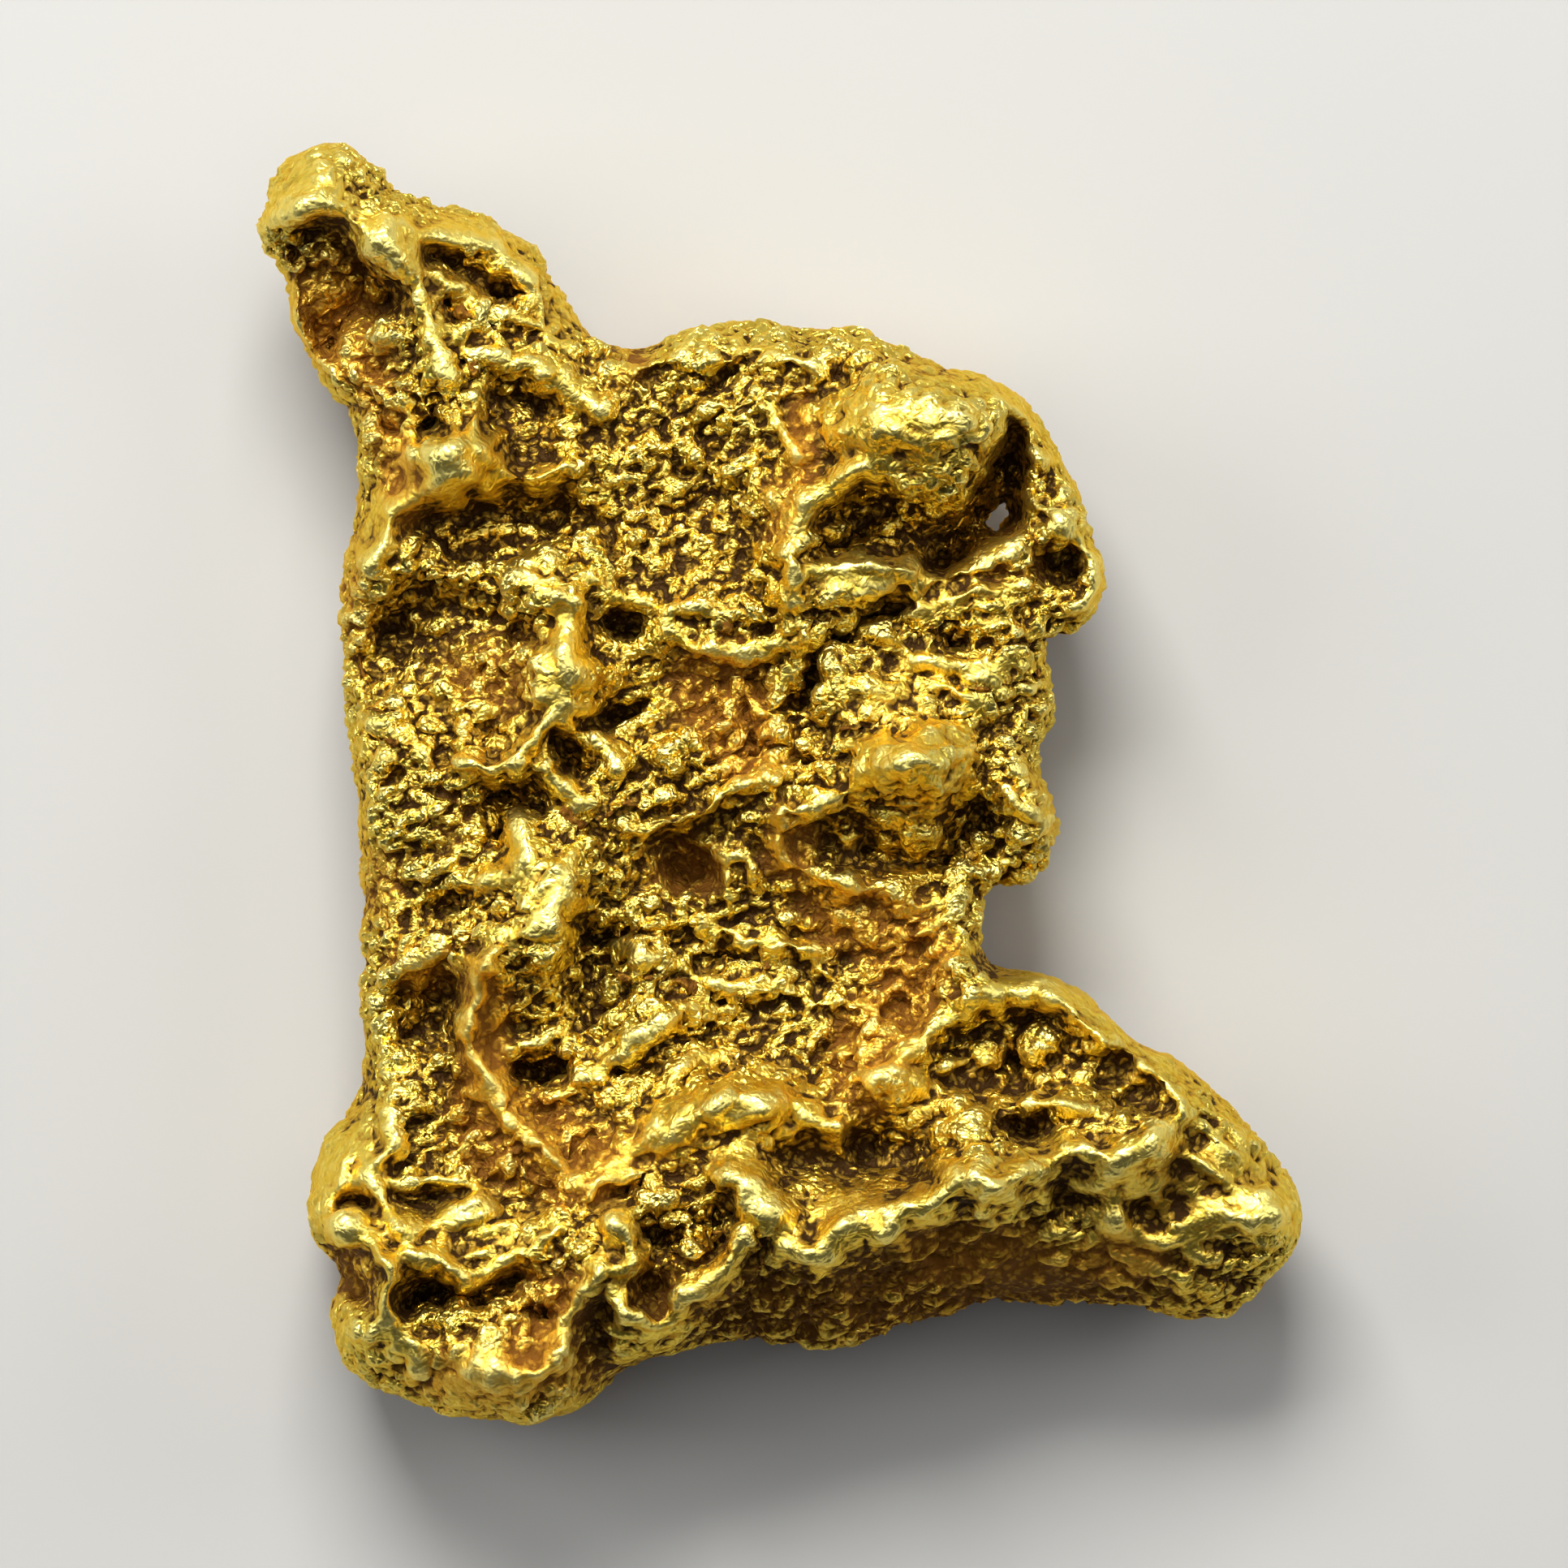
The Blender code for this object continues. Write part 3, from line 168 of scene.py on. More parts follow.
# Main crests: half width, height, line.
CRESTS = [
    (0.42, 0.6, [(0.4, 29.75), (1.4, 29.65), (2.4, 29.3), (3.4, 28.4), (3.8, 27.6), (4.2, 26.6),
                 (4.5, 25.8)]),
    (0.3, 0.35, [(3.5, 28.8), (4.2, 28.0), (5.4, 27.7)]),
    (0.35, 0.5, [(4.3, 27.0), (5.0, 26.5), (6.4, 26.0), (7.4, 25.4), (8.3, 24.8)]),
    (0.3, 0.5, [(5.3, 25.4), (5.4, 24.0), (5.9, 23.3), (6.8, 23.15), (7.4, 23.5)]),
    (0.45, 0.5, [(2.8, 21.4), (3.3, 22.3), (4.4, 22.85), (5.8, 23.05), (7.0, 23.1)]),
    (0.36, 0.7, [(14.6, 23.2), (13.6, 22.7), (12.9, 22.1), (13.1, 21.0), (13.0, 20.0), (13.2, 19.2)]),
    (0.4, 0.5, [(13.2, 21.0), (14.4, 21.05), (16.0, 21.0)]),
    (0.25, 0.35, [(9.8, 19.6), (10.2, 19.9), (11.2, 19.85)]),
    (0.3, 0.5, [(9.8, 19.4), (10.6, 19.05), (11.8, 18.9), (12.6, 19.0), (13.1, 19.2)]),
    (0.26, 0.7, [(9.0, 14.5), (10.0, 14.65), (10.8, 15.1), (11.6, 15.6), (12.6, 15.95)]),
    (0.32, 0.5, [(12.6, 14.8), (13.4, 15.2), (14.4, 15.5), (15.0, 16.0)]),
    (0.26, 0.5, [(12.6, 14.2), (13.2, 13.5), (14.2, 13.3), (15.2, 13.0), (16.0, 12.7)]),
    (0.2, 0.4, [(16.3, 20.6), (17.4, 21.1), (18.4, 21.7)]),
    (0.22, 0.35, [(15.9, 20.0), (17.2, 20.3), (18.6, 20.6)]),
    (0.3, 0.35, [(16.0, 18.8), (17.2, 18.6), (18.4, 18.7)]),
    (0.5, 0.5, [(6.4, 21.0), (7.3, 20.3), (7.5, 19.0), (7.7, 18.0), (7.3, 17.3)]),
    (0.3, 0.6, [(4.9, 16.2), (5.8, 16.05), (6.5, 16.5), (7.0, 17.2), (8.0, 17.0), (8.6, 16.2)]),
    (0.26, 0.45, [(6.8, 16.1), (7.4, 15.6), (7.8, 15.2)]),
    (0.32, 0.5, [(6.3, 14.8), (6.26, 13.9), (5.4, 13.25)]),
    (0.34, 0.7, [(5.6, 11.8), (5.2, 10.8), (5.0, 9.8), (5.3, 8.8), (5.8, 7.8), (6.6, 7.0), (7.4, 6.2)]),
    (0.3, 0.55, [(7.2, 8.1), (8.2, 8.8), (9.1, 9.6), (10.2, 10.1)]),
    (0.24, 0.45, [(10.8, 12.3), (12.0, 11.8), (13.2, 11.7), (13.8, 11.1)]),
    (0.26, 0.5, [(8.8, 11.7), (10.4, 11.1), (11.4, 10.7), (12.8, 10.8)]),
    (0.6, 0.7, [(8.2, 6.0), (9.2, 6.8), (10.4, 7.5), (11.4, 7.95), (12.8, 8.1), (13.6, 7.75), (14.0, 7.2)]),
    (0.55, 0.9, [(11.6, 6.0), (12.6, 5.0), (13.6, 4.0), (14.4, 4.9), (15.8, 5.0), (16.9, 6.0), (18.0, 6.0),
                 (19.6, 6.6), (20.8, 6.5), (22.2, 7.1)]),
    (0.36, 0.8, [(15.6, 9.2), (16.6, 9.8), (17.8, 10.55), (19.0, 10.75), (20.2, 10.0), (21.4, 9.0),
                 (22.2, 8.3), (22.6, 7.5)]),
    (0.5, 0.5, [(20.8, 5.0), (22.0, 4.4), (23.0, 4.8), (24.6, 5.4), (25.2, 5.0)]),
    (0.32, 0.6, [(3.1, 7.8), (3.15, 7.0), (2.8, 6.2), (2.95, 5.4)]),
    (0.38, 0.9, [(1.4, 5.0), (2.4, 4.6), (3.2, 3.7), (3.15, 2.6), (3.7, 1.6)]),
    (0.26, 0.5, [(2.96, 5.4), (3.4, 4.8), (4.2, 4.9), (5.2, 5.4)]),
    (0.3, 0.5, [(3.6, 4.3), (4.5, 3.76), (5.0, 3.44), (5.8, 3.76), (6.7, 4.2)]),
    (0.4, 0.7, [(7.2, 1.8), (7.5, 2.7), (8.3, 3.5), (8.8, 3.9)]),
    (0.38, 0.8, [(8.6, 5.3), (8.9, 4.2), (8.7, 3.2), (9.4, 2.5), (10.1, 2.5), (10.5, 3.2), (11.2, 3.7),
                 (11.7, 4.6)]),
]  # fmt: skip

# Main hollows: depth, width of the sloping wall, outline.
HOLLOWS = [
    (2.0, 0.5, [(0.75, 29.1), (1.4, 29.4), (2.2, 29.1), (2.4, 28.6), (3.2, 28.0), (3.4, 27.5), (3.0, 27.0),
                (2.3, 27.0), (2.0, 26.2), (1.4, 26.2), (1.05, 26.8), (0.9, 27.8), (0.9, 28.4)]),
    (0.9, 0.3, [(3.9, 28.75), (4.6, 28.75), (5.4, 28.3), (6.3, 28.0), (6.3, 27.6), (5.4, 27.5), (4.9, 27.9),
                (4.2, 28.3)]),
    (0.45, 0.3, [(5.5, 25.2), (6.2, 25.6), (7.2, 25.2), (7.4, 24.4), (7.2, 23.5), (6.4, 23.2), (5.8, 23.5),
                (5.5, 24.2)]),
    (1.0, 0.35, [(3.4, 22.2), (4.2, 22.6), (5.4, 22.85), (6.6, 22.9), (7.4, 23.0), (8.0, 22.6), (7.8, 21.8),
                 (6.4, 21.2), (4.6, 21.2), (3.6, 21.6)]),
    (1.1, 0.55, [(2.5, 19.8), (2.8, 20.3), (3.8, 20.6), (4.6, 20.6), (5.8, 20.2), (6.6, 19.6), (6.8, 19.0),
                 (5.4, 19.0), (4.6, 18.2), (3.4, 18.0), (2.5, 18.2), (2.4, 19.0)]),
    (0.9, 0.35, [(8.3, 19.9), (9.0, 20.1), (9.4, 19.6), (9.1, 19.2), (8.4, 19.3)]),
    (1.0, 0.25, [(7.6, 17.4), (8.0, 17.4), (8.8, 17.6), (9.4, 17.75), (9.2, 17.3), (8.4, 16.9),
                 (7.9, 16.9)]),
    (1.9, 0.45, [(13.5, 21.8), (13.9, 22.4), (14.6, 22.9), (15.6, 23.0), (16.4, 22.6), (16.8, 22.0),
                 (16.0, 21.2), (14.4, 21.2), (13.6, 21.2)]),
    (3.0, 0.5, [(16.2, 21.0), (16.6, 22.0), (17.3, 22.8), (18.0, 24.2), (18.3, 24.6), (18.7, 23.8),
                (18.65, 22.6), (18.4, 21.8), (17.4, 21.25), (16.8, 20.9)]),
    (0.9, 0.3, [(18.7, 21.2), (19.2, 21.5), (20.0, 21.4), (20.2, 21.1), (19.8, 20.6), (19.1, 20.7)]),
    (1.6, 0.3, [(13.2, 17.6), (13.15, 18.4), (13.6, 19.2), (14.4, 19.9), (15.6, 20.35), (15.8, 20.0),
                (14.8, 19.5), (14.4, 19.0), (13.8, 18.6), (13.5, 17.8)]),
    (1.1, 0.4, [(13.2, 14.4), (13.6, 14.8), (14.6, 15.0), (15.4, 14.4), (16.0, 14.1), (16.8, 14.6),
                (17.4, 15.3), (18.0, 15.0), (17.4, 14.0), (16.4, 13.4), (15.4, 13.3), (14.4, 13.6),
                (13.6, 13.9)]),
    (0.9, 0.3, [(9.8, 14.2), (10.6, 14.2), (11.2, 13.6), (11.0, 13.0), (10.2, 13.1), (9.7, 13.6)]),
    (0.8, 0.25, [(7.0, 16.9), (7.6, 16.8), (7.9, 16.1), (7.7, 15.6), (7.2, 16.0)]),
    (1.2, 0.3, [(5.2, 15.7), (6.2, 15.85), (6.9, 15.7), (6.8, 15.0), (6.1, 15.0), (6.0, 14.2), (5.7, 14.0),
                (5.4, 14.8)]),
    (0.9, 0.4, [(7.5, 12.0), (8.2, 12.4), (9.2, 12.0), (8.6, 11.0), (8.2, 9.8), (7.4, 10.2)]),
    (1.1, 0.3, [(6.1, 9.0), (7.4, 9.1), (7.6, 8.4), (7.2, 8.1), (6.2, 8.2)]),
    (1.1, 0.4, [(3.0, 10.6), (4.0, 11.2), (4.8, 11.0), (4.6, 9.8), (4.8, 9.0), (3.8, 9.0), (3.2, 9.4)]),
    (0.7, 0.3, [(3.8, 12.8), (4.8, 13.1), (5.4, 12.8), (5.2, 12.3), (4.0, 12.2)]),
    (0.55, 0.4, [(12.4, 6.7), (13.0, 7.0), (14.0, 7.1), (14.6, 7.3), (15.6, 7.2), (16.4, 6.8), (16.5, 6.2),
                (15.6, 5.9), (14.4, 6.0), (13.2, 6.2)]),
    (0.7, 0.4, [(16.4, 9.2), (17.2, 9.7), (18.2, 10.2), (19.2, 10.3), (20.0, 9.7), (21.4, 8.8), (21.9, 8.2),
                (21.4, 7.8), (20.4, 8.0), (19.2, 8.1), (18.2, 8.0), (17.0, 8.0), (16.4, 8.4)]),
    (0.25, 0.5, [(19.2, 6.3), (20.6, 6.2), (22.2, 5.6), (22.6, 5.3), (21.4, 5.0), (19.8, 5.3)]),
    (2.0, 0.35, [(1.1, 4.6), (1.9, 4.5), (2.4, 3.9), (2.7, 3.2), (2.2, 3.0), (1.6, 3.0)]),
    (1.6, 0.35, [(3.4, 3.5), (4.3, 3.8), (5.0, 3.4), (6.4, 3.9), (6.6, 3.4), (5.2, 2.8), (4.6, 3.0),
                 (3.8, 2.6), (3.3, 2.8)]),
    (0.7, 0.5, [(7.6, 2.2), (8.1, 3.1), (8.6, 2.9), (8.8, 2.2), (8.5, 0.9), (7.9, 0.4), (7.5, 1.2)]),
    (0.9, 0.3, [(9.1, 5.0), (9.8, 5.1), (10.3, 4.9), (10.2, 3.8), (10.05, 3.0), (9.4, 2.8), (9.0, 3.2),
                (9.2, 4.2)]),
    (1.0, 0.25, [(10.6, 5.2), (11.5, 5.2), (11.4, 4.4), (10.8, 4.1)]),
    (0.8, 0.25, [(8.2, 5.6), (9.4, 5.9), (9.2, 5.4), (8.3, 5.2)]),
]  # fmt: skip

# Round pits and swellings: x, y, radius across, radius up, depth or height.
PITS = [
    (4.1, 24.55, 0.42, 0.42, 1.0), (4.7, 27.25, 0.3, 0.26, 0.6), (3.8, 5.45, 0.75, 0.38, 0.35),
    (2.3, 5.35, 0.4, 0.34, 0.9), (6.75, 2.75, 0.3, 0.35, 0.7), (18.4, 8.9, 0.4, 0.5, 0.9),
    (18.7, 7.3, 0.5, 0.2, 0.7), (16.9, 19.15, 0.22, 0.22, 0.6), (16.6, 17.2, 0.25, 0.2, 0.5),
    (5.7, 16.85, 0.35, 0.28, 0.7),
]  # fmt: skip
LUMPS = [
    (1.3, 30.3, 0.9, 0.9, 0.5), (4.4, 23.5, 1.0, 0.8, 0.5), (16.0, 24.3, 2.0, 1.0, 0.8),
    (15.9, 16.2, 1.2, 0.7, 0.9), (18.9, 15.2, 0.7, 0.8, 0.5), (7.2, 18.1, 0.8, 1.1, 0.4),
    (6.9, 12.8, 0.8, 1.5, 0.5), (5.7, 11.2, 0.5, 0.6, 0.5), (15.2, 8.2, 1.1, 0.5, 0.5),
    (17.2, 11.0, 0.6, 0.6, 0.5), (17.8, 5.9, 1.4, 0.7, 0.5), (24.6, 5.0, 0.9, 0.9, 0.4),
    (5.6, 1.7, 1.3, 1.0, 0.6), (2.4, 2.2, 0.7, 0.6, 0.5), (7.8, 4.2, 1.1, 0.9, 0.2),
]  # fmt: skip

# Underside: hollows as above, and crests as half width, height, line.
UNDERSIDE_PITS = [
    (6.2, 22.0, 1.4, 1.0, 1.1), (12.6, 23.4, 1.2, 0.8, 0.9), (17.4, 19.0, 1.0, 1.5, 1.2),
    (13.6, 19.6, 0.9, 0.7, 0.8), (5.4, 13.8, 1.3, 0.9, 0.9), (14.2, 12.8, 1.5, 0.9, 1.1),
    (10.0, 9.4, 1.2, 1.0, 0.9), (5.6, 6.4, 1.0, 1.2, 1.0), (15.8, 6.2, 1.3, 0.8, 1.0),
    (12.2, 3.2, 1.0, 0.6, 0.8), (20.4, 7.2, 0.9, 0.7, 0.8),
]  # fmt: skip
UNDERSIDE_CRESTS = [
    (0.4, 0.5, [(7.4, 25.6), (8.4, 23.4), (10.8, 22.4), (12.0, 20.6)]),
    (0.35, 0.45, [(3.2, 18.6), (5.2, 16.4), (7.0, 17.0)]),
    (0.4, 0.5, [(13.2, 16.6), (15.6, 16.2), (17.0, 14.6)]),
    (0.45, 0.5, [(6.2, 10.4), (7.4, 7.6), (9.2, 6.4), (11.6, 6.2)]),
    (0.4, 0.5, [(13.4, 9.8), (16.4, 9.6), (18.6, 9.0), (21.4, 7.4)]),
]

HOLE_AT = (18.07, 22.3)
HOLE_RADIUS = 0.3
HOLE_STRETCH = 1.5
HOLE_LEAN = math.radians(-28)
HOLE_ROUNDING = 0.35

# Low waves that the solid has too: waves per millimetre, height.
WAVES = [(0.45, 0.16), (1.0, 0.11)]

# Irregularity of the forms on the plan: waves per millimetre, reach in millimetres.
WOBBLE = [(0.9, 0.16), (2.4, 0.18)]
WOBBLE_SEED = 7.3

# How much a crest's height varies along it, and how often.
UNEVEN_WAVES = 1.4
UNEVEN_CRESTS = 0.5
UNEVEN_SEED = 3.1

# Flat-topped blocks that stand up from the surface, in pixels: height, width of the wall, outline.
BLOCKS = [
    (0.60, 0.14, [(1066, 908), (1120, 900), (1182, 902), (1190, 945), (1168, 980), (1104, 976),
                  (1056, 960)]),
    (0.40, 0.20, [(1000, 706), (1080, 696), (1150, 706), (1150, 734), (1080, 748), (1010, 742)]),
    (0.30, 0.25, [(508, 548), (556, 530), (608, 545), (604, 588), (560, 606), (512, 590)]),
    (0.35, 0.25, [(650, 800), (700, 790), (716, 850), (700, 900), (660, 890), (640, 840)]),
    (0.30, 0.22, [(640, 1080), (700, 1064), (716, 1110), (690, 1150), (640, 1150)]),
    (0.30, 0.30, [(1040, 490), (1120, 476), (1200, 490), (1190, 540), (1110, 570), (1040, 545)]),
]  # fmt: skip

# Patches of long ribs side by side, in pixels: column, row, radius across and down, lean, height.
FIBRES = [
    (1480, 1455, 110, 75, -40, 0.36), (1310, 1330, 120, 60, 38, 0.40), (1290, 1560, 200, 50, -8, 0.40),
    (1400, 1560, 90, 50, -20, 0.40), (590, 880, 80, 40, -25, 0.30), (1130, 860, 90, 50, -12, 0.35),
    (590, 1500, 110, 60, 14, 0.35), (430, 1440, 50, 60, 35, 0.30), (1150, 1340, 90, 50, 30, 0.30),
]  # fmt: skip
FIBRE_WAVES = (0.5, 2.4)  # per millimetre, along and across the ribs
FIBRE_SEED = 5.0
FIBRE_EDGE = 0.02

# The rough wall below the nugget's highest edge, tinted with rust and darkened with painted shade, in pixels:
# column, row, radius across and down.
LOWER_WALL = (1130, 1600, 420, 78)

# Thin crests, in the photograph's pixels: half width in pixels, height in millimetres, line.
FINE_CRESTS = [
    # horn
    (7, 0.3, [(363, 345), (363, 385), (378, 428), (402, 462), (432, 500)]),
    (9, 0.3, [(340, 268), (372, 268), (405, 272), (440, 287), (470, 310), (500, 334)]),
    (7, 0.3, [(505, 312), (520, 335), (538, 362), (548, 388), (562, 413), (590, 430), (622, 442),
              (660, 462)]),
    (7, 0.25, [(548, 352), (578, 362), (604, 354)]),
    (9, 0.2, [(430, 262), (480, 278), (530, 292), (580, 300), (622, 316), (652, 344)]),
    (6, 0.2, [(600, 342), (625, 334), (650, 345), (664, 368)]),
    (6, 0.22, [(614, 380), (644, 392), (672, 412), (700, 440)]),
    # shoulder
    (8, 0.3, [(600, 476), (597, 520), (605, 556), (622, 586), (650, 593), (678, 582)]),
    (6, 0.2, [(505, 500), (500, 524), (512, 546)]),
    (8, 0.3, [(662, 462), (700, 490), (732, 512)]),
    (7, 0.25, [(500, 560), (505, 590), (515, 612)]),
    # brow of the left hollow
    (10, 0.35, [(590, 592), (560, 602), (530, 616), (500, 634), (484, 657), (470, 682)]),
    # upper middle
    (8, 0.3, [(780, 462), (800, 448), (832, 440), (848, 428)]),
    (6, 0.3, [(866, 420), (884, 410), (904, 420), (908, 440), (892, 452), (872, 446), (866, 430)]),
    (6, 0.25, [(920, 430), (950, 436), (980, 446), (1010, 452)]),
    (6, 0.25, [(955, 500), (968, 540), (990, 560)]),
    (6, 0.25, [(955, 612), (962, 640), (958, 668)]),
    # rim outside the brow
    (7, 0.3, [(1120, 458), (1160, 466), (1204, 478), (1244, 496), (1272, 526)]),
    (7, 0.3, [(1256, 548), (1276, 566), (1296, 566)]),
    (7, 0.3, [(1262, 610), (1290, 630), (1314, 662)]),
    (7, 0.35, [(1326, 668), (1342, 690), (1352, 716), (1344, 742), (1318, 752)]),
    # pocket and its stem
    (11, 0.3, [(1030, 610), (1002, 630), (978, 652), (986, 690), (986, 720), (980, 750), (986, 782)]),
    (9, 0.3, [(1004, 700), (1050, 697), (1092, 697), (1130, 703)]),
    # cheek laminae
    (5, 0.3, [(1146, 724), (1180, 712), (1214, 700), (1238, 684), (1256, 664)]),
    (5, 0.3, [(1140, 746), (1176, 734), (1216, 726), (1254, 716)]),
    (5, 0.28, [(1128, 762), (1168, 752), (1210, 750), (1256, 748)]),
    (6, 0.3, [(1060, 772), (1100, 786), (1134, 800), (1150, 784)]),
    (5, 0.25, [(1196, 774), (1226, 768), (1262, 778)]),
    (6, 0.28, [(1110, 812), (1150, 826), (1196, 838), (1240, 832), (1276, 812)]),
    (6, 0.3, [(1232, 862), (1262, 850), (1286, 838)]),
    (5, 0.25, [(1150, 850), (1190, 866), (1224, 884)]),
    # plate in the middle
    (8, 0.35, [(818, 756), (846, 750), (884, 753)]),
    (9, 0.35, [(822, 770), (836, 790), (862, 798), (896, 802), (932, 810), (962, 800), (990, 794)]),
    (9, 0.35, [(1000, 800), (980, 824), (962, 842), (950, 856)]),
    # left middle
    (9, 0.3, [(720, 708), (744, 726), (770, 738), (798, 742)]),
    (12, 0.3, [(690, 760), (696, 800), (706, 830), (716, 856), (704, 884), (664, 900)]),
    (7, 0.35, [(576, 928), (600, 938), (636, 938), (662, 922), (682, 896)]),
    (7, 0.3, [(664, 918), (682, 946), (702, 974), (722, 992)]),
    (7, 0.3, [(722, 908), (750, 928), (764, 950)]),
    (9, 0.35, [(640, 1012), (648, 1040), (642, 1070), (604, 1092), (576, 1090)]),
    (6, 0.25, [(440, 888), (480, 902), (510, 920), (532, 934)]),
    (6, 0.25, [(448, 920), (474, 934), (500, 944)]),
    # diagonal
    (9, 0.4, [(790, 1026), (832, 1021), (862, 1006), (892, 984), (928, 962), (964, 946)]),
    (6, 0.3, [(886, 1058), (894, 1078), (892, 1102)]),
    (6, 0.22, [(892, 1062), (916, 1054), (932, 1072), (926, 1090)]),
    (5, 0.25, [(776, 1048), (800, 1052), (818, 1070)]),
    # nose
    (8, 0.3, [(1076, 964), (1042, 980), (1012, 990), (990, 990), (962, 1002), (954, 1022)]),
    (7, 0.3, [(960, 1032), (984, 1064), (1012, 1086), (1050, 1096), (1084, 1108)]),
    (7, 0.3, [(1050, 922), (1092, 914), (1140, 912), (1182, 906)]),
    (6, 0.25, [(1184, 908), (1186, 944), (1164, 976)]),
    (8, 0.3, [(1256, 946), (1280, 964), (1296, 990), (1300, 1012)]),
    (6, 0.3, [(1236, 970), (1256, 994), (1284, 1022)]),
    (5, 0.25, [(1100, 1082), (1136, 1070), (1162, 1054), (1176, 1040)]),
    (5, 0.25, [(1136, 1122), (1164, 1110), (1186, 1098)]),
    (5, 0.25, [(1108, 1152), (1150, 1142), (1184, 1114)]),
    (5, 0.25, [(1020, 1020), (1046, 1036), (1060, 1060)]),
    # lower middle
    (6, 0.32, [(860, 1142), (898, 1140), (930, 1154), (962, 1166), (984, 1166)]),
    (6, 0.32, [(850, 1190), (878, 1210), (920, 1206), (962, 1200)]),
    (6, 0.28, [(998, 1168), (1012, 1186), (1022, 1204)]),
    (6, 0.25, [(834, 1230), (866, 1246), (900, 1240)]),
    (7, 0.3, [(702, 1052), (694, 1096), (664, 1130), (624, 1168), (606, 1202)]),
    (14, 0.34, [(596, 1196), (582, 1240), (580, 1288), (600, 1312), (620, 1342), (614, 1380)]),
    (8, 0.3, [(500, 1202), (528, 1182), (548, 1164)]),
    (6, 0.3, [(632, 1286), (660, 1282), (692, 1276)]),
    (8, 0.35, [(716, 1332), (756, 1302), (796, 1272), (832, 1254)]),
    (8, 0.35, [(820, 1334), (852, 1306), (892, 1298)]),
    (6, 0.3, [(926, 1330), (950, 1312), (978, 1312)]),
    (6, 0.25, [(1000, 1238), (1040, 1232), (1076, 1246)]),
    (6, 0.25, [(1040, 1286), (1072, 1292), (1100, 1286)]),
    # arch
    (12, 0.3, [(790, 1386), (820, 1366), (856, 1352), (900, 1346), (950, 1350), (1000, 1358),
               (1014, 1384)]),
    (7, 0.3, [(958, 1388), (986, 1392), (1010, 1398)]),
    (9, 0.3, [(1062, 1330), (1086, 1312), (1120, 1318), (1138, 1340)]),
    # lower edge
    (12, 0.35, [(1008, 1552), (1040, 1512), (1090, 1496), (1150, 1466), (1180, 1442), (1230, 1446),
                (1284, 1440), (1316, 1420), (1370, 1426), (1404, 1402), (1462, 1386)]),
    (9, 0.3, [(1000, 1498), (1026, 1478), (1060, 1470)]),
    (10, 0.35, [(900, 1452), (930, 1478), (954, 1502), (988, 1532), (1012, 1552)]),
    (9, 0.3, [(704, 1440), (742, 1446), (770, 1452)]),
    # foot
    (11, 0.35, [(1236, 1200), (1290, 1210), (1332, 1230), (1372, 1260), (1404, 1292), (1442, 1328),
                (1462, 1352)]),
    (5, 0.25, [(1244, 1226), (1296, 1232), (1340, 1256), (1384, 1290), (1420, 1324)]),
    (9, 0.35, [(1108, 1292), (1150, 1262), (1192, 1244), (1232, 1234)]),
    (8, 0.3, [(1156, 1186), (1178, 1174), (1206, 1184), (1218, 1208), (1204, 1230)]),
    (6, 0.3, [(1204, 1318), (1224, 1300), (1246, 1290)]),
    (6, 0.3, [(1164, 1320), (1190, 1306), (1206, 1290)]),
    (7, 0.3, [(1260, 1352), (1300, 1350), (1340, 1364)]),
    # fibres of the toe
    (4, 0.2, [(1462, 1340), (1500, 1370), (1530, 1400)]),
    (4, 0.2, [(1470, 1376), (1510, 1404), (1550, 1440), (1580, 1474)]),
    (4, 0.2, [(1462, 1398), (1500, 1424), (1544, 1458), (1574, 1490)]),
    (4, 0.2, [(1450, 1416), (1492, 1446), (1530, 1474)]),
    (7, 0.3, [(1390, 1512), (1428, 1530), (1468, 1502), (1504, 1490)]),
    (7, 0.3, [(1540, 1480), (1574, 1488), (1596, 1506)]),
    # heel
    (10, 0.35, [(492, 1388), (486, 1412), (472, 1440), (470, 1468)]),
    (9, 0.3, [(412, 1418), (400, 1440), (396, 1468)]),
    (6, 0.25, [(440, 1404), (426, 1430), (424, 1456)]),
    (8, 0.35, [(484, 1492), (510, 1516), (550, 1506), (582, 1500), (602, 1480), (590, 1464), (540, 1454),
               (492, 1460)]),
    (10, 0.35, [(400, 1500), (440, 1520), (470, 1550), (486, 1582), (486, 1620), (500, 1650), (518, 1668)]),
    (9, 0.35, [(500, 1540), (540, 1562), (576, 1576), (610, 1566), (642, 1548), (668, 1530), (692, 1508)]),
    (5, 0.2, [(520, 1534), (560, 1544), (604, 1536), (640, 1516)]),
    (5, 0.2, [(600, 1512), (640, 1500), (670, 1484)]),
    (9, 0.3, [(722, 1598), (692, 1640), (664, 1684)]),
    (10, 0.35, [(770, 1500), (780, 1546), (766, 1580), (776, 1612), (802, 1632), (832, 1620), (852, 1590),
                (880, 1560), (906, 1530), (914, 1500), (904, 1478)]),
]  # fmt: skip

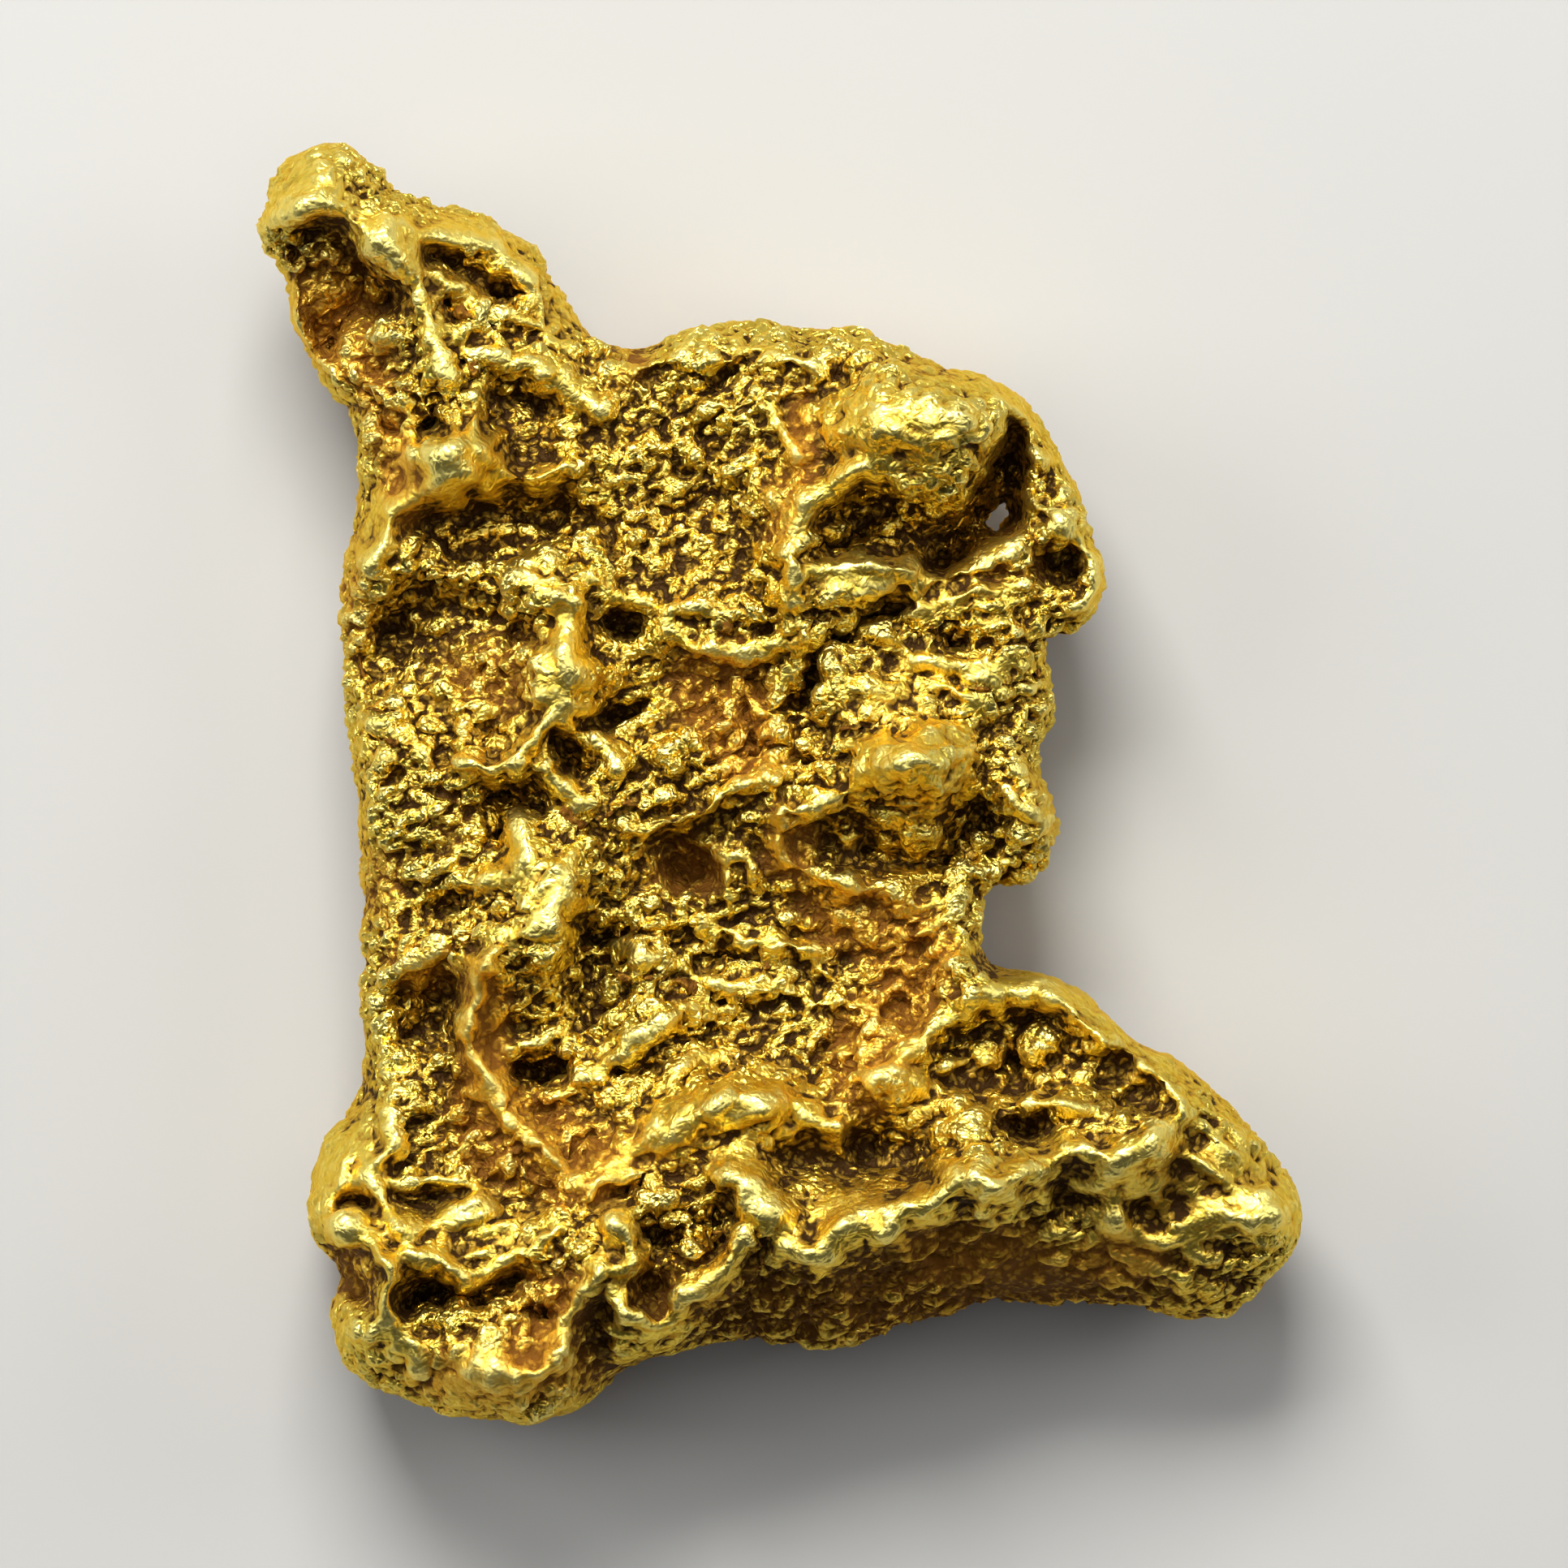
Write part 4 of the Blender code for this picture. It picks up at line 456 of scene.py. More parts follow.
# Small pits, in pixels: column, row, radius across, radius down, depth in millimetres.
FINE_PITS = [
    (540, 318, 22, 11, 0.5), (620, 362, 36, 13, 0.45), (565, 388, 11, 10, 0.6), (572, 448, 9, 8, 0.45),
    (637, 441, 9, 7, 0.45), (530, 520, 20, 20, 0.6), (632, 572, 13, 11, 0.5), (752, 442, 20, 6, 0.5),
    (380, 285, 30, 12, 0.5), (475, 376, 20, 16, 0.6), (410, 350, 36, 30, 0.4), (650, 500, 34, 14, 0.5),
    (482, 520, 9, 22, 0.35), (816, 476, 18, 9, 0.5), (896, 462, 36, 9, 0.5), (515, 720, 16, 12, 0.5),
    (480, 775, 34, 24, 0.5), (765, 765, 26, 18, 0.5), (764, 880, 28, 9, 0.7), (612, 906, 14, 11, 0.6),
    (700, 936, 13, 20, 0.6), (640, 972, 34, 14, 0.6), (485, 955, 20, 12, 0.5), (520, 1010, 15, 10, 0.5),
    (560, 985, 12, 12, 0.4), (612, 1040, 8, 26, 0.6), (460, 848, 28, 8, 0.4), (545, 640, 46, 14, 0.45),
    (640, 630, 44, 16, 0.4), (1178, 795, 11, 10, 0.7), (1160, 890, 9, 8, 0.5), (1130, 562, 36, 16, 0.18),
    (1290, 580, 14, 14, 0.45), (1310, 690, 24, 14, 0.6), (1322, 762, 26, 9, 0.5), (1250, 530, 8, 18, 0.5),
    (1170, 470, 40, 6, 0.35), (900, 838, 30, 14, 0.4), (930, 922, 20, 15, 0.5), (850, 1070, 32, 22, 0.5),
    (942, 966, 12, 8, 0.4), (915, 986, 10, 7, 0.4), (820, 1034, 44, 6, 0.6), (890, 1175, 26, 20, 0.5),
    (980, 1150, 26, 8, 0.5), (1100, 1048, 44, 10, 0.6), (1168, 1010, 22, 14, 0.5), (1250, 1040, 26, 22, 0.4),
    (984, 1078, 18, 7, 0.5), (1054, 1112, 34, 6, 0.5), (560, 1112, 26, 12, 0.5), (514, 1222, 36, 9, 0.6),
    (530, 1262, 24, 20, 0.4), (640, 1264, 22, 10, 0.5), (664, 1314, 32, 14, 0.5), (720, 1160, 11, 32, 0.5),
    (780, 1318, 36, 7, 0.6), (1070, 1400, 26, 24, 0.4), (1134, 1440, 24, 9, 0.6), (980, 1404, 24, 6, 0.5),
    (1290, 1252, 60, 10, 0.4), (1376, 1306, 34, 14, 0.4), (1254, 1310, 13, 22, 0.6), (1265, 1386, 28, 9, 0.6),
    (1350, 1400, 22, 8, 0.4), (1320, 1474, 26, 16, 0.3), (446, 1478, 22, 15, 0.6), (528, 1480, 38, 16, 0.25),
    (424, 1532, 20, 20, 0.5), (440, 1576, 22, 26, 0.4), (530, 1586, 22, 18, 0.7), (668, 1612, 13, 14, 0.6),
    (795, 1590, 16, 18, 0.6), (800, 1512, 14, 12, 0.5), (880, 1488, 22, 12, 0.6), (770, 1466, 34, 8, 0.6),
    (730, 1400, 16, 20, 0.4), (560, 1330, 28, 24, 0.3), (600, 830, 34, 12, 0.25), (1040, 870, 26, 10, 0.2),
    (700, 620, 30, 20, 0.35), (860, 540, 44, 30, 0.3), (760, 640, 40, 28, 0.3), (880, 620, 34, 30, 0.25),
    (1050, 660, 26, 18, 0.3), (1190, 640, 16, 34, 0.5),
]  # fmt: skip

# Small swellings, in pixels: column, row, radius across, radius down, height in millimetres.
FINE_LUMPS = [
    (500, 455, 22, 20, 0.25), (478, 430, 16, 14, 0.2), (552, 470, 20, 16, 0.22), (548, 566, 44, 34, 0.3),
    (975, 548, 26, 24, 0.3), (1028, 656, 16, 14, 0.6), (1100, 660, 22, 14, 0.35), (1286, 560, 18, 14, 0.2),
    (1300, 640, 20, 18, 0.25), (1344, 706, 14, 24, 0.25), (1050, 850, 56, 36, 0.3), (1176, 868, 18, 12, 0.3),
    (455, 700, 24, 26, 0.25), (690, 730, 34, 30, 0.25), (480, 985, 36, 22, 0.22), (612, 1190, 16, 13, 0.5),
    (940, 1075, 12, 11, 0.3), (965, 1130, 16, 10, 0.3), (1090, 1328, 32, 22, 0.4), (1302, 1356, 24, 14, 0.3),
    (1184, 1206, 26, 22, 0.3), (1220, 1305, 14, 10, 0.25), (1180, 1311, 14, 9, 0.25),
    (1282, 1290, 16, 11, 0.25), (450, 1638, 24, 18, 0.3), (545, 1655, 20, 16, 0.35),
    (652, 1692, 36, 24, 0.25), (1450, 1465, 70, 36, 0.35), (1335, 1470, 44, 22, 0.25),
    (694, 1664, 26, 22, 0.25), (570, 1616, 20, 13, 0.35), (620, 1700, 56, 34, 0.3), (700, 1558, 16, 14, 0.3),
    (736, 1560, 14, 12, 0.3), (716, 1536, 14, 11, 0.3), (1116, 1482, 18, 11, 0.3), (1580, 1490, 16, 14, 0.3),
    (640, 720, 20, 14, 0.2), (900, 1300, 30, 14, 0.2),
]  # fmt: skip

# Where the gold is smooth and worn, in pixels: column, row, radius across, radius down, how much.
WORN_PATCHES = [
    (390, 235, 60, 50, 1.0), (560, 290, 90, 30, 0.8), (690, 385, 40, 40, 0.7), (548, 566, 60, 50, 0.9),
    (1110, 525, 150, 75, 0.9), (1080, 725, 80, 28, 0.9), (1120, 940, 80, 44, 0.8), (1130, 1005, 50, 30, 0.5),
    (685, 835, 45, 70, 0.7), (680, 1110, 55, 70, 0.85), (600, 1280, 26, 90, 1.0), (910, 1395, 130, 55, 0.75),
    (1180, 1480, 200, 50, 0.8), (1320, 1225, 90, 24, 0.8), (1550, 1460, 60, 60, 0.6),
    (1231, 636, 26, 36, 1.0), (560, 1695, 120, 36, 0.6), (1480, 1470, 90, 50, 0.35), (640, 1670, 90, 60, 0.7),
    (440, 1450, 50, 90, 0.8), (765, 1580, 60, 110, 0.7), (1290, 980, 40, 50, 0.6), (1060, 850, 60, 40, 0.3),
    (460, 1640, 40, 36, 0.6), (1330, 640, 40, 90, 0.5), (1330, 1440, 120, 30, 0.6), (480, 640, 30, 60, 0.6),
]  # fmt: skip

# Where iron oxide tints it, in pixels: column, row, radius across, radius down, how much.
RUST_PATCHES = [
    (400, 370, 50, 70, 0.9), (440, 430, 50, 60, 0.9), (470, 520, 30, 60, 0.9), (500, 600, 30, 60, 0.9),
    (440, 740, 26, 90, 0.8), (620, 830, 90, 60, 0.7), (990, 550, 22, 80, 0.9), (960, 640, 26, 60, 0.8),
    (890, 850, 70, 70, 1.0), (930, 930, 50, 50, 0.9), (780, 450, 30, 30, 0.8), (975, 1040, 40, 50, 1.0),
    (850, 1070, 60, 40, 0.8), (1060, 1130, 90, 50, 1.0), (1130, 1190, 60, 60, 1.0), (1080, 1270, 70, 60, 0.9),
    (600, 1280, 34, 110, 1.3), (640, 1400, 90, 70, 1.0), (720, 1440, 60, 50, 1.0), (520, 1190, 50, 40, 0.8),
    (470, 1090, 30, 60, 0.8), (620, 1690, 130, 50, 1.1), (680, 1600, 60, 60, 0.8), (430, 1570, 40, 50, 0.8),
    (1380, 1550, 60, 40, 0.9), (1200, 1530, 90, 40, 0.8), (1290, 1000, 50, 60, 0.6),
    (1070, 1340, 60, 40, 0.8), (820, 1400, 60, 40, 0.6), (900, 1600, 120, 50, 0.6), (1240, 680, 70, 50, 0.6),
    (560, 1010, 40, 60, 0.4), (1120, 1000, 70, 40, 0.35), (540, 280, 120, 40, 0.35),
    (1110, 440, 120, 30, 0.4), (1220, 1560, 160, 40, 0.7),
]  # fmt: skip

# Hackly grain of the rough gold: waves per millimetre, height in millimetres, how far it is bent.
GRAIN = [(0.75, 0.30, 0.5), (1.5, 0.30, 0.5), (2.7, 0.20, 0.4), (4.4, 0.07, 0.3)]
BEND_WAVES = 1.7  # times the grain's own
GRAIN_LEAN = math.radians(24)  # of the strata that the grain is drawn out along
GRAIN_STRETCH = 0.62  # waves along the strata, over waves across them
CREASE_WIDTH, CREASE_MIDDLE = 0.4, 0.45
PATCH_WAVES = 0.4
CALM_GRAIN, ROUGH_GRAIN = 0.5, 1.5  # how much of its height it has, from patch to patch
LEAST_GRAIN = 0.16  # of its height, on worn gold
FLAT_PADS = 0.03  # whatever is lower lies flat on the ground

# How smooth the worn parts are, and how rough the sides and the underside.
SMOOTH_CRESTS, SMOOTH_FIBRES, SMOOTH_WALL = 0.88, 0.55, 0.3
ROUGH_SIDES, ROUGH_UNDERSIDE, ROUGH_WALL = 0.14, 0.55, 0.5

# How far a point stands out from its surroundings where wear starts and where it is full, in millimetres.
WEAR_ROUNDS = 14
WORN_FROM, WORN_TO = 0.05, 0.2
MOST_WORN = 0.75

# How far the surroundings reach that a point is compared with, and how much painted shade the sides and the
# wall get.
NEAR_ROUNDS, FAR_ROUNDS = 8, 90
LIT_SIDE = (0.3, 0.95, 0.0)  # the sides that face away from here get the most painted shade
SHADE_ON_SIDES, SHADED_SIDES, WALL_SHADE = 0.6, 2.4, 4.0
RUSTY_SIDES, RUSTY_WALL = 0.75, 0.7
WALL_SPARES_CRESTS = 0.7

# Colours, from the worn crests with their painted highlight down to the earth in the hollows, which also
# serves as painted shade.
CREST_GOLD_AND_HIGHLIGHT, BRIGHT_GOLD = (1.0, 0.88, 0.28, 1), (1.0, 0.82, 0.22, 1)
WARM_GOLD, PALE_GOLD = (0.92, 0.655, 0.085, 1), (0.89, 0.69, 0.105, 1)
STAINED_GOLD, BRONZE = (0.72, 0.34, 0.035, 1), (0.58, 0.295, 0.022, 1)
# the earth colours, also used as painted shade on the sides, on the lower wall and in recesses
RUSTY_EARTH_AND_SHADE, DARK_EARTH_AND_SHADE = (0.19, 0.073, 0.008, 1), (0.035, 0.014, 0.003, 1)
EARTH_SHEEN, SHEEN_TINT = 0.35, (1.0, 0.72, 0.35, 1)

# Crumbs finer than the mesh, in cells per millimetre, with lengths in millimetres.
CRUMBS_PER_MM = (4.6, 9.0)
SMALL_CRUMBS = 0.4
BEND_PER_MM, BEND_REACH = 2.6, 0.34
BUMP_HEIGHT = 0.10

# Floor, lights and camera, in metres and watts.
FLOOR_HALF = 0.6
FLOOR_COLOURS = ((0.50, 0.50, 0.49, 1), (0.55, 0.55, 0.54, 1))
FLOOR_ROUGHNESS = 0.85
CLOUDS_PER_MM = 0.02
WORLD_COLOUR, WORLD_STRENGTH = (0.5, 0.5, 0.52, 1), 0.05
LIGHTS_AIM = (0, 0, 0.004)
SOFTBOXES = [  # name, place, width, height, power, colour
    ("key", (-0.04, 0.19, 0.20), 0.16, 0.10, 1.05, (1.0, 0.98, 0.93)),
    ("left", (-0.20, 0.05, 0.14), 0.12, 0.12, 0.18, (1, 1, 1)),
    ("right", (0.20, 0.08, 0.14), 0.12, 0.12, 0.15, (1, 1, 1)),
    ("overhead", (0, 0.08, 0.50), 0.50, 0.50, 0.68, (1, 1, 1)),
]
SENSOR_WIDTH = 36.0  # millimetres
CAMERA_DISTANCE = 0.45  # from the height at which the silhouette is measured
SILHOUETTE_HEIGHT = 0.003
CAMERA_CLIP = (0.01, 5)


def smooth_line(points, closed=False):
    """A Catmull-Rom line through the points."""
    points = np.array(points, float)
    if closed:
        ends = [points[-1:], points, points[:2]]
    else:
        ends = [2 * points[:1] - points[1:2], points, 2 * points[-1:] - points[-2:-1]]
    guide = np.concatenate(ends)
    line = []
    for a, b, c, d in zip(guide, guide[1:], guide[2:], guide[3:]):
        for t in np.arange(POINTS_PER_SPAN) / POINTS_PER_SPAN:
            square, cube = 2 * a - 5 * b + 4 * c - d, 3 * b - a - 3 * c + d
            line.append(0.5 * (2 * b + (c - a) * t + square * t**2 + cube * t**3))
    if not closed:
        line.append(points[-1])
    return np.array(line)


def distance_to_line(plan, line, closed=False):
    ends = np.roll(line, -1, axis=0) if closed else line[1:]
    starts = line if closed else line[:-1]
    nearest = np.full(len(plan), np.inf)
    for a, b in zip(starts, ends):
        along = b - a
        t = np.clip((plan - a) @ along / max(along @ along, 1e-12), 0, 1)
        nearest = np.minimum(nearest, ((plan - a - t[:, None] * along) ** 2).sum(axis=1))
    return np.sqrt(nearest)


def inside(plan, line):
    within = np.zeros(len(plan), bool)
    for (ax, ay), (bx, by) in zip(line, np.roll(line, -1, axis=0)):
        crosses = (ay > plan[:, 1]) != (by > plan[:, 1])
        with np.errstate(divide="ignore", invalid="ignore"):
            at = ax + (plan[:, 1] - ay) * (bx - ax) / (by - ay)
        within ^= crosses & (plan[:, 0] < at)
    return within


def smooth_step(t):
    t = np.clip(t, 0, 1)
    return t * t * (3 - 2 * t)


def round_off(inset, width):
    """A quarter circle from 0 at the edge to 1 at the given width."""
    return np.sqrt(np.clip(1 - (1 - np.clip(inset / width, 0, 1)) ** 2, 0, 1))


def on_plan(points):
    """Pixels of the photograph to millimetres on the plan."""
    points = np.array(points, float)
    return np.stack(
        [(points[:, 0] - PIXEL_LEFT) / PIXELS_PER_MM, (PIXEL_BOTTOM - points[:, 1]) / PIXELS_PER_MM], axis=1
    )


class Sheet:
    """Values over the plan on a fine square grid, with each form worked out only where it reaches."""

    def __init__(self):
        outline = np.array(OUTLINE)
        self.low = outline.min(axis=0) - GRID_MARGIN
        high = outline.max(axis=0) + GRID_MARGIN
        self.counts = np.ceil((high - self.low) / GRID_STEP).astype(int) + 1
        self.x = self.low[0] + GRID_STEP * np.arange(self.counts[0])
        self.y = self.low[1] + GRID_STEP * np.arange(self.counts[1])
        self.wobble = None

    def start_wobble(self):
        """Bends the plan a little, so that forms laid out with smooth lines come out irregular."""
        self.uneven = self.blank() + 1
        shift = np.zeros((*self.uneven.shape, 2))
        for j, y in enumerate(self.y):
            for i, x in enumerate(self.x):
                at = Vector((x, y, UNEVEN_SEED)) * UNEVEN_WAVES
                self.uneven[j, i] += UNEVEN_CRESTS * noise.noise(at)
                for waves, reach in WOBBLE:
                    vector = noise.noise_vector((x * waves, y * waves, WOBBLE_SEED * waves))
                    shift[j, i, 0] += reach * vector[0]
                    shift[j, i, 1] += reach * vector[1]
        self.wobble = shift

    def blank(self):
        return np.zeros((self.counts[1], self.counts[0]))

    def window(self, low, high):
        """The part of the grid between two corners, and its points."""
        a = np.clip(((np.array(low) - self.low) / GRID_STEP).astype(int), 0, self.counts - 1)
        b = np.clip(((np.array(high) - self.low) / GRID_STEP).astype(int) + 2, 0, self.counts)
        across, up = np.meshgrid(self.x[a[0] : b[0]], self.y[a[1] : b[1]])
        where = (slice(a[1], b[1]), slice(a[0], b[0]))
        plan = np.stack([across.ravel(), up.ravel()], axis=1)
        if self.wobble is not None:
            plan = plan + self.wobble[where].reshape(-1, 2)
        return where, plan, across.shape

    def everywhere(self):
        return self.window(self.low, [self.x[-1], self.y[-1]])

    def spots(self, spots):
        """The spots' values, blended by nearness."""
        where, plan, shape = self.everywhere()
        total, weights = np.zeros(len(plan)), np.zeros(len(plan))
        for x, y, value in spots:
            away = (plan[:, 0] - x) ** 2 + (plan[:, 1] - y) ** 2 + SPOT_SOFTNESS**2
            weight = away**-SPOT_FALLOFF
            total += weight * value
            weights += weight
        return (total / weights).reshape(shape)

    def crest(self, values, half_width, height, points):
        line = smooth_line(points)
        reach = 3 * half_width
        where, plan, shape = self.window(line.min(axis=0) - reach, line.max(axis=0) + reach)
        away = distance_to_line(plan, line)
        rise = (height * np.exp(-((away / half_width) ** CREST_FLATNESS))).reshape(shape)
        values[where] = np.maximum(values[where], rise * self.uneven[where])

    def hollow(self, values, depth, wall, points):
        line = smooth_line(points, closed=True)
        where, plan, shape = self.window(line.min(axis=0) - wall, line.max(axis=0) + wall)
        away = distance_to_line(plan, line, closed=True) / wall
        away = np.where(inside(plan, line), away + WALL_OUTSIDE, WALL_OUTSIDE - away)
        values[where] -= (depth * smooth_step(away)).reshape(shape)

    def mound(self, values, x, y, across, up, height):
        reach = 2 * max(across, up)
        where, plan, shape = self.window((x - reach, y - reach), (x + reach, y + reach))
        away = ((plan[:, 0] - x) / across) ** 2 + ((plan[:, 1] - y) / up) ** 2
        values[where] += (height * np.exp(-(away**MOUND_EDGE))).reshape(shape)

    def pixel_mound(self, values, column, row, across, down, height):
        (x, y), = on_plan([(column, row)])
        self.mound(values, x, y, across / PIXELS_PER_MM, down / PIXELS_PER_MM, height)

    def patches(self, patches):
        """Mounds in pixels, added up and kept between 0 and 1."""
        values = self.blank()
        for patch in patches:
            self.pixel_mound(values, *patch)
        return np.clip(values, 0, 1)

    def fibres(self, values, column, row, across, down, lean, height):
        """Ribs that run side by side over a patch."""
        patch = self.blank()
        self.pixel_mound(patch, column, row, across, down, 1.0)
        c, s = math.cos(math.radians(lean)), math.sin(math.radians(lean))
        for j, i in zip(*np.nonzero(patch > FIBRE_EDGE)):
            x, y = self.x[i], self.y[j]
            at = Vector(((c * x + s * y) * FIBRE_WAVES[0], (c * y - s * x) * FIBRE_WAVES[1], FIBRE_SEED))
            values[j, i] += height * patch[j, i] * noise.noise(at)

    def read(self, values, plan):
        """The grid's values at points of the plan."""
        at = np.clip((plan - self.low) / GRID_STEP, 0, self.counts - 1.001)
        cell = at.astype(int)
        u, v = (at - cell).T
        i, j = cell.T
        low = values[j, i] * (1 - u) + values[j, i + 1] * u
        high = values[j + 1, i] * (1 - u) + values[j + 1, i + 1] * u
        return low * (1 - v) + high * v


def hole_line():
    """The small hole's rim on the plan."""
    turn = np.linspace(0, 2 * math.pi, 16, endpoint=False)
    x, y = HOLE_RADIUS * np.cos(turn), HOLE_RADIUS * HOLE_STRETCH * np.sin(turn)
    c, s = math.cos(HOLE_LEAN), math.sin(HOLE_LEAN)
    return np.stack([HOLE_AT[0] + c * x - s * y, HOLE_AT[1] + s * x + c * y], axis=1)


class Relief:
    """Heights of both faces and the maps that the finish is made from."""

    def __init__(self):
        sheet = self.sheet = Sheet()
        inset, from_hole = self.measure_edges()
        sheet.start_wobble()
        face, under = self.upper_face(), self.under_face()
        edge = sheet.spots(EDGE_HEIGHTS)
        face = np.maximum(face, under + THINNEST)
        above = (face - edge) * round_off(inset, sheet.spots(SHOULDERS))
        below = (under - edge) * round_off(inset, UNDER_SHOULDER)
        rounding = round_off(from_hole, HOLE_ROUNDING)
        middle = (face + under) / 2
        self.top = middle + (edge + above - middle) * rounding
        self.bottom = middle + (edge + below - middle) * rounding
        self.worn = sheet.patches(WORN_PATCHES)
        self.rust = sheet.patches(RUST_PATCHES)
        self.wall = sheet.patches([(*LOWER_WALL, 1.0)])
        self.fibrous = sheet.patches([(*patch[:4], 1.0) for patch in FIBRES])

    def measure_edges(self):
        """How far each point of the plan is inside the silhouette, and how far from the hole."""
        where, plan, shape = self.sheet.everywhere()
        silhouette, rim = smooth_line(OUTLINE, closed=True), hole_line()
        inset = np.where(inside(plan, silhouette), distance_to_line(plan, silhouette, closed=True), 0)
        from_hole = np.where(inside(plan, rim), 0, distance_to_line(plan, rim, closed=True))
        return inset.reshape(shape), from_hole.reshape(shape)

    def upper_face(self):
        sheet = self.sheet
        face = sheet.spots(FACE_HEIGHTS)
        crest, hollow, raised = sheet.blank(), sheet.blank(), sheet.blank()
        for lump in LUMPS:
            sheet.mound(face, *lump)
        for half_width, height, points in CRESTS:
            sheet.crest(raised, half_width, CREST_RISE * height, points)
            sheet.crest(crest, half_width, 1.0, points)
        for depth, wall, points in HOLLOWS:
            sheet.hollow(face, STEEP_SHARE * depth, wall, points)
            sheet.hollow(face, SOFT_SHARE * depth, SOFT_WALL * wall, points)
            sheet.hollow(hollow, min(1.0, depth), wall, points)
        for x, y, across, up, depth in PITS:
            sheet.mound(face, x, y, across, up, -depth)
            sheet.mound(hollow, x, y, across, up, -min(1.0, PIT_STAIN * depth))
        for half_width, height, points in FINE_CRESTS:
            width = FINE_CREST_WIDTH * half_width / PIXELS_PER_MM
            sheet.crest(raised, width, FINE_CREST_RISE * height, on_plan(points))
            sheet.crest(crest, width, 1.0, on_plan(points))
        for column, row, across, down, depth in FINE_PITS:
            sheet.pixel_mound(face, column, row, across, down, -FINE_PIT_DEPTH * depth)
            sheet.pixel_mound(hollow, column, row, across, down, -FINE_PIT_STAIN)
        for lump in FINE_LUMPS:
            sheet.pixel_mound(face, *lump)
        for patch in FIBRES:
            sheet.fibres(face, *patch)
        for height, wall, points in BLOCKS:
            block = sheet.blank()
            sheet.hollow(block, -height, wall, on_plan(points))
            raised = np.maximum(raised, block)
        self.crest, self.hollow = np.clip(crest, 0, 1), np.clip(-hollow, 0, 1)
        return face + raised

    def under_face(self):
        sheet = self.sheet
        under = sheet.spots(UNDERSIDE_HEIGHTS)
        for x, y, across, up, depth in UNDERSIDE_PITS:
            sheet.mound(under, x, y, across, up, depth)
        ribs = sheet.blank()
        for half_width, height, points in UNDERSIDE_CRESTS:
            sheet.crest(ribs, half_width, height, points)
        return np.maximum(under - ribs, 0)


def read_out(items, name, width, kind=np.float32):
    """One property of a mesh's points or edges, as rows of numbers."""
    values = np.empty(len(items) * width, kind)
    items.foreach_get(name, values)
    return values.reshape(-1, width)


def coordinates(mesh):
    return read_out(mesh.vertices, "co", 3).astype(float)


def normals_of(mesh):
    return read_out(mesh.vertex_normals, "vector", 3).astype(float)


def edges_of(mesh):
    return read_out(mesh.edges, "vertices", 2, np.int32)


def set_coordinates(mesh, points):
    mesh.vertices.foreach_set("co", points.astype(np.float32).ravel())
    mesh.update()


def finished_mesh(obj):
    """A new mesh of the object as its modifiers make it."""
    bpy.context.view_layer.update()
    return bpy.data.meshes.new_from_object(obj.evaluated_get(bpy.context.evaluated_depsgraph_get()))


def bake(obj):
    made, old = finished_mesh(obj), obj.data
    obj.modifiers.clear()
    obj.data = made
    bpy.data.meshes.remove(old)


def voxel_remesh(obj, size):
    remesh = obj.modifiers.new("even skin", "REMESH")
    remesh.mode = "VOXEL"
    remesh.voxel_size = size
    bake(obj)


def silhouette_slab():
    """The silhouette with its hole, as an even slab."""
    curve = bpy.data.curves.new("silhouette", "CURVE")
    curve.dimensions = "2D"
    curve.fill_mode = "BOTH"
    curve.extrude = SLAB_HALF
    for line in (smooth_line(OUTLINE, closed=True), hole_line()):
        spline = curve.splines.new("POLY")
        spline.points.add(len(line) - 1)
        for point, (x, y) in zip(spline.points, line):
            point.co = (x, y, 0, 1)
        spline.use_cyclic_u = True
    outline = bpy.data.objects.new("silhouette", curve)
    bpy.context.scene.collection.objects.link(outline)
    mesh = finished_mesh(outline)
    bpy.data.objects.remove(outline)
    weld = bmesh.new()
    weld.from_mesh(mesh)
    bmesh.ops.remove_doubles(weld, verts=weld.verts, dist=WELD)
    weld.to_mesh(mesh)
    weld.free()
    slab = bpy.data.objects.new("nugget_skin", mesh)
    bpy.context.scene.collection.objects.link(slab)
    voxel_remesh(slab, SLAB_VOXEL)
    return slab


def press_relief(slab, relief):
    points = coordinates(slab.data)
    side = np.clip(points[:, 2] / SLAB_HALF, -1, 1)
    top = relief.sheet.read(relief.top, points[:, :2])
    bottom = relief.sheet.read(relief.bottom, points[:, :2])
    points[:, 2] = bottom + (top - bottom) * (side + 1) / 2
    set_coordinates(slab.data, points)
    voxel_remesh(slab, SKIN_VOXEL)


def roughness_map(points, normals, relief):
    """How rough each point of the skin is, from 0 on worn gold to 1 in the hollows."""
    plan = points[:, :2]
    read = relief.sheet.read
    wall = read(relief.wall, plan)
    smooth = read(relief.crest, plan) * SMOOTH_CRESTS + read(relief.worn, plan)
    smooth = np.clip(smooth + SMOOTH_FIBRES * read(relief.fibrous, plan) + SMOOTH_WALL * wall, 0, 1)
    above = smooth_step(0.2 + 1.2 * normals[:, 2])
    below = smooth_step(0.2 - 1.2 * normals[:, 2])
    sides = np.maximum(ROUGH_SIDES + ROUGH_UNDERSIDE * below, ROUGH_WALL * wall)
    return (1 - smooth) * above + sides * (1 - above)


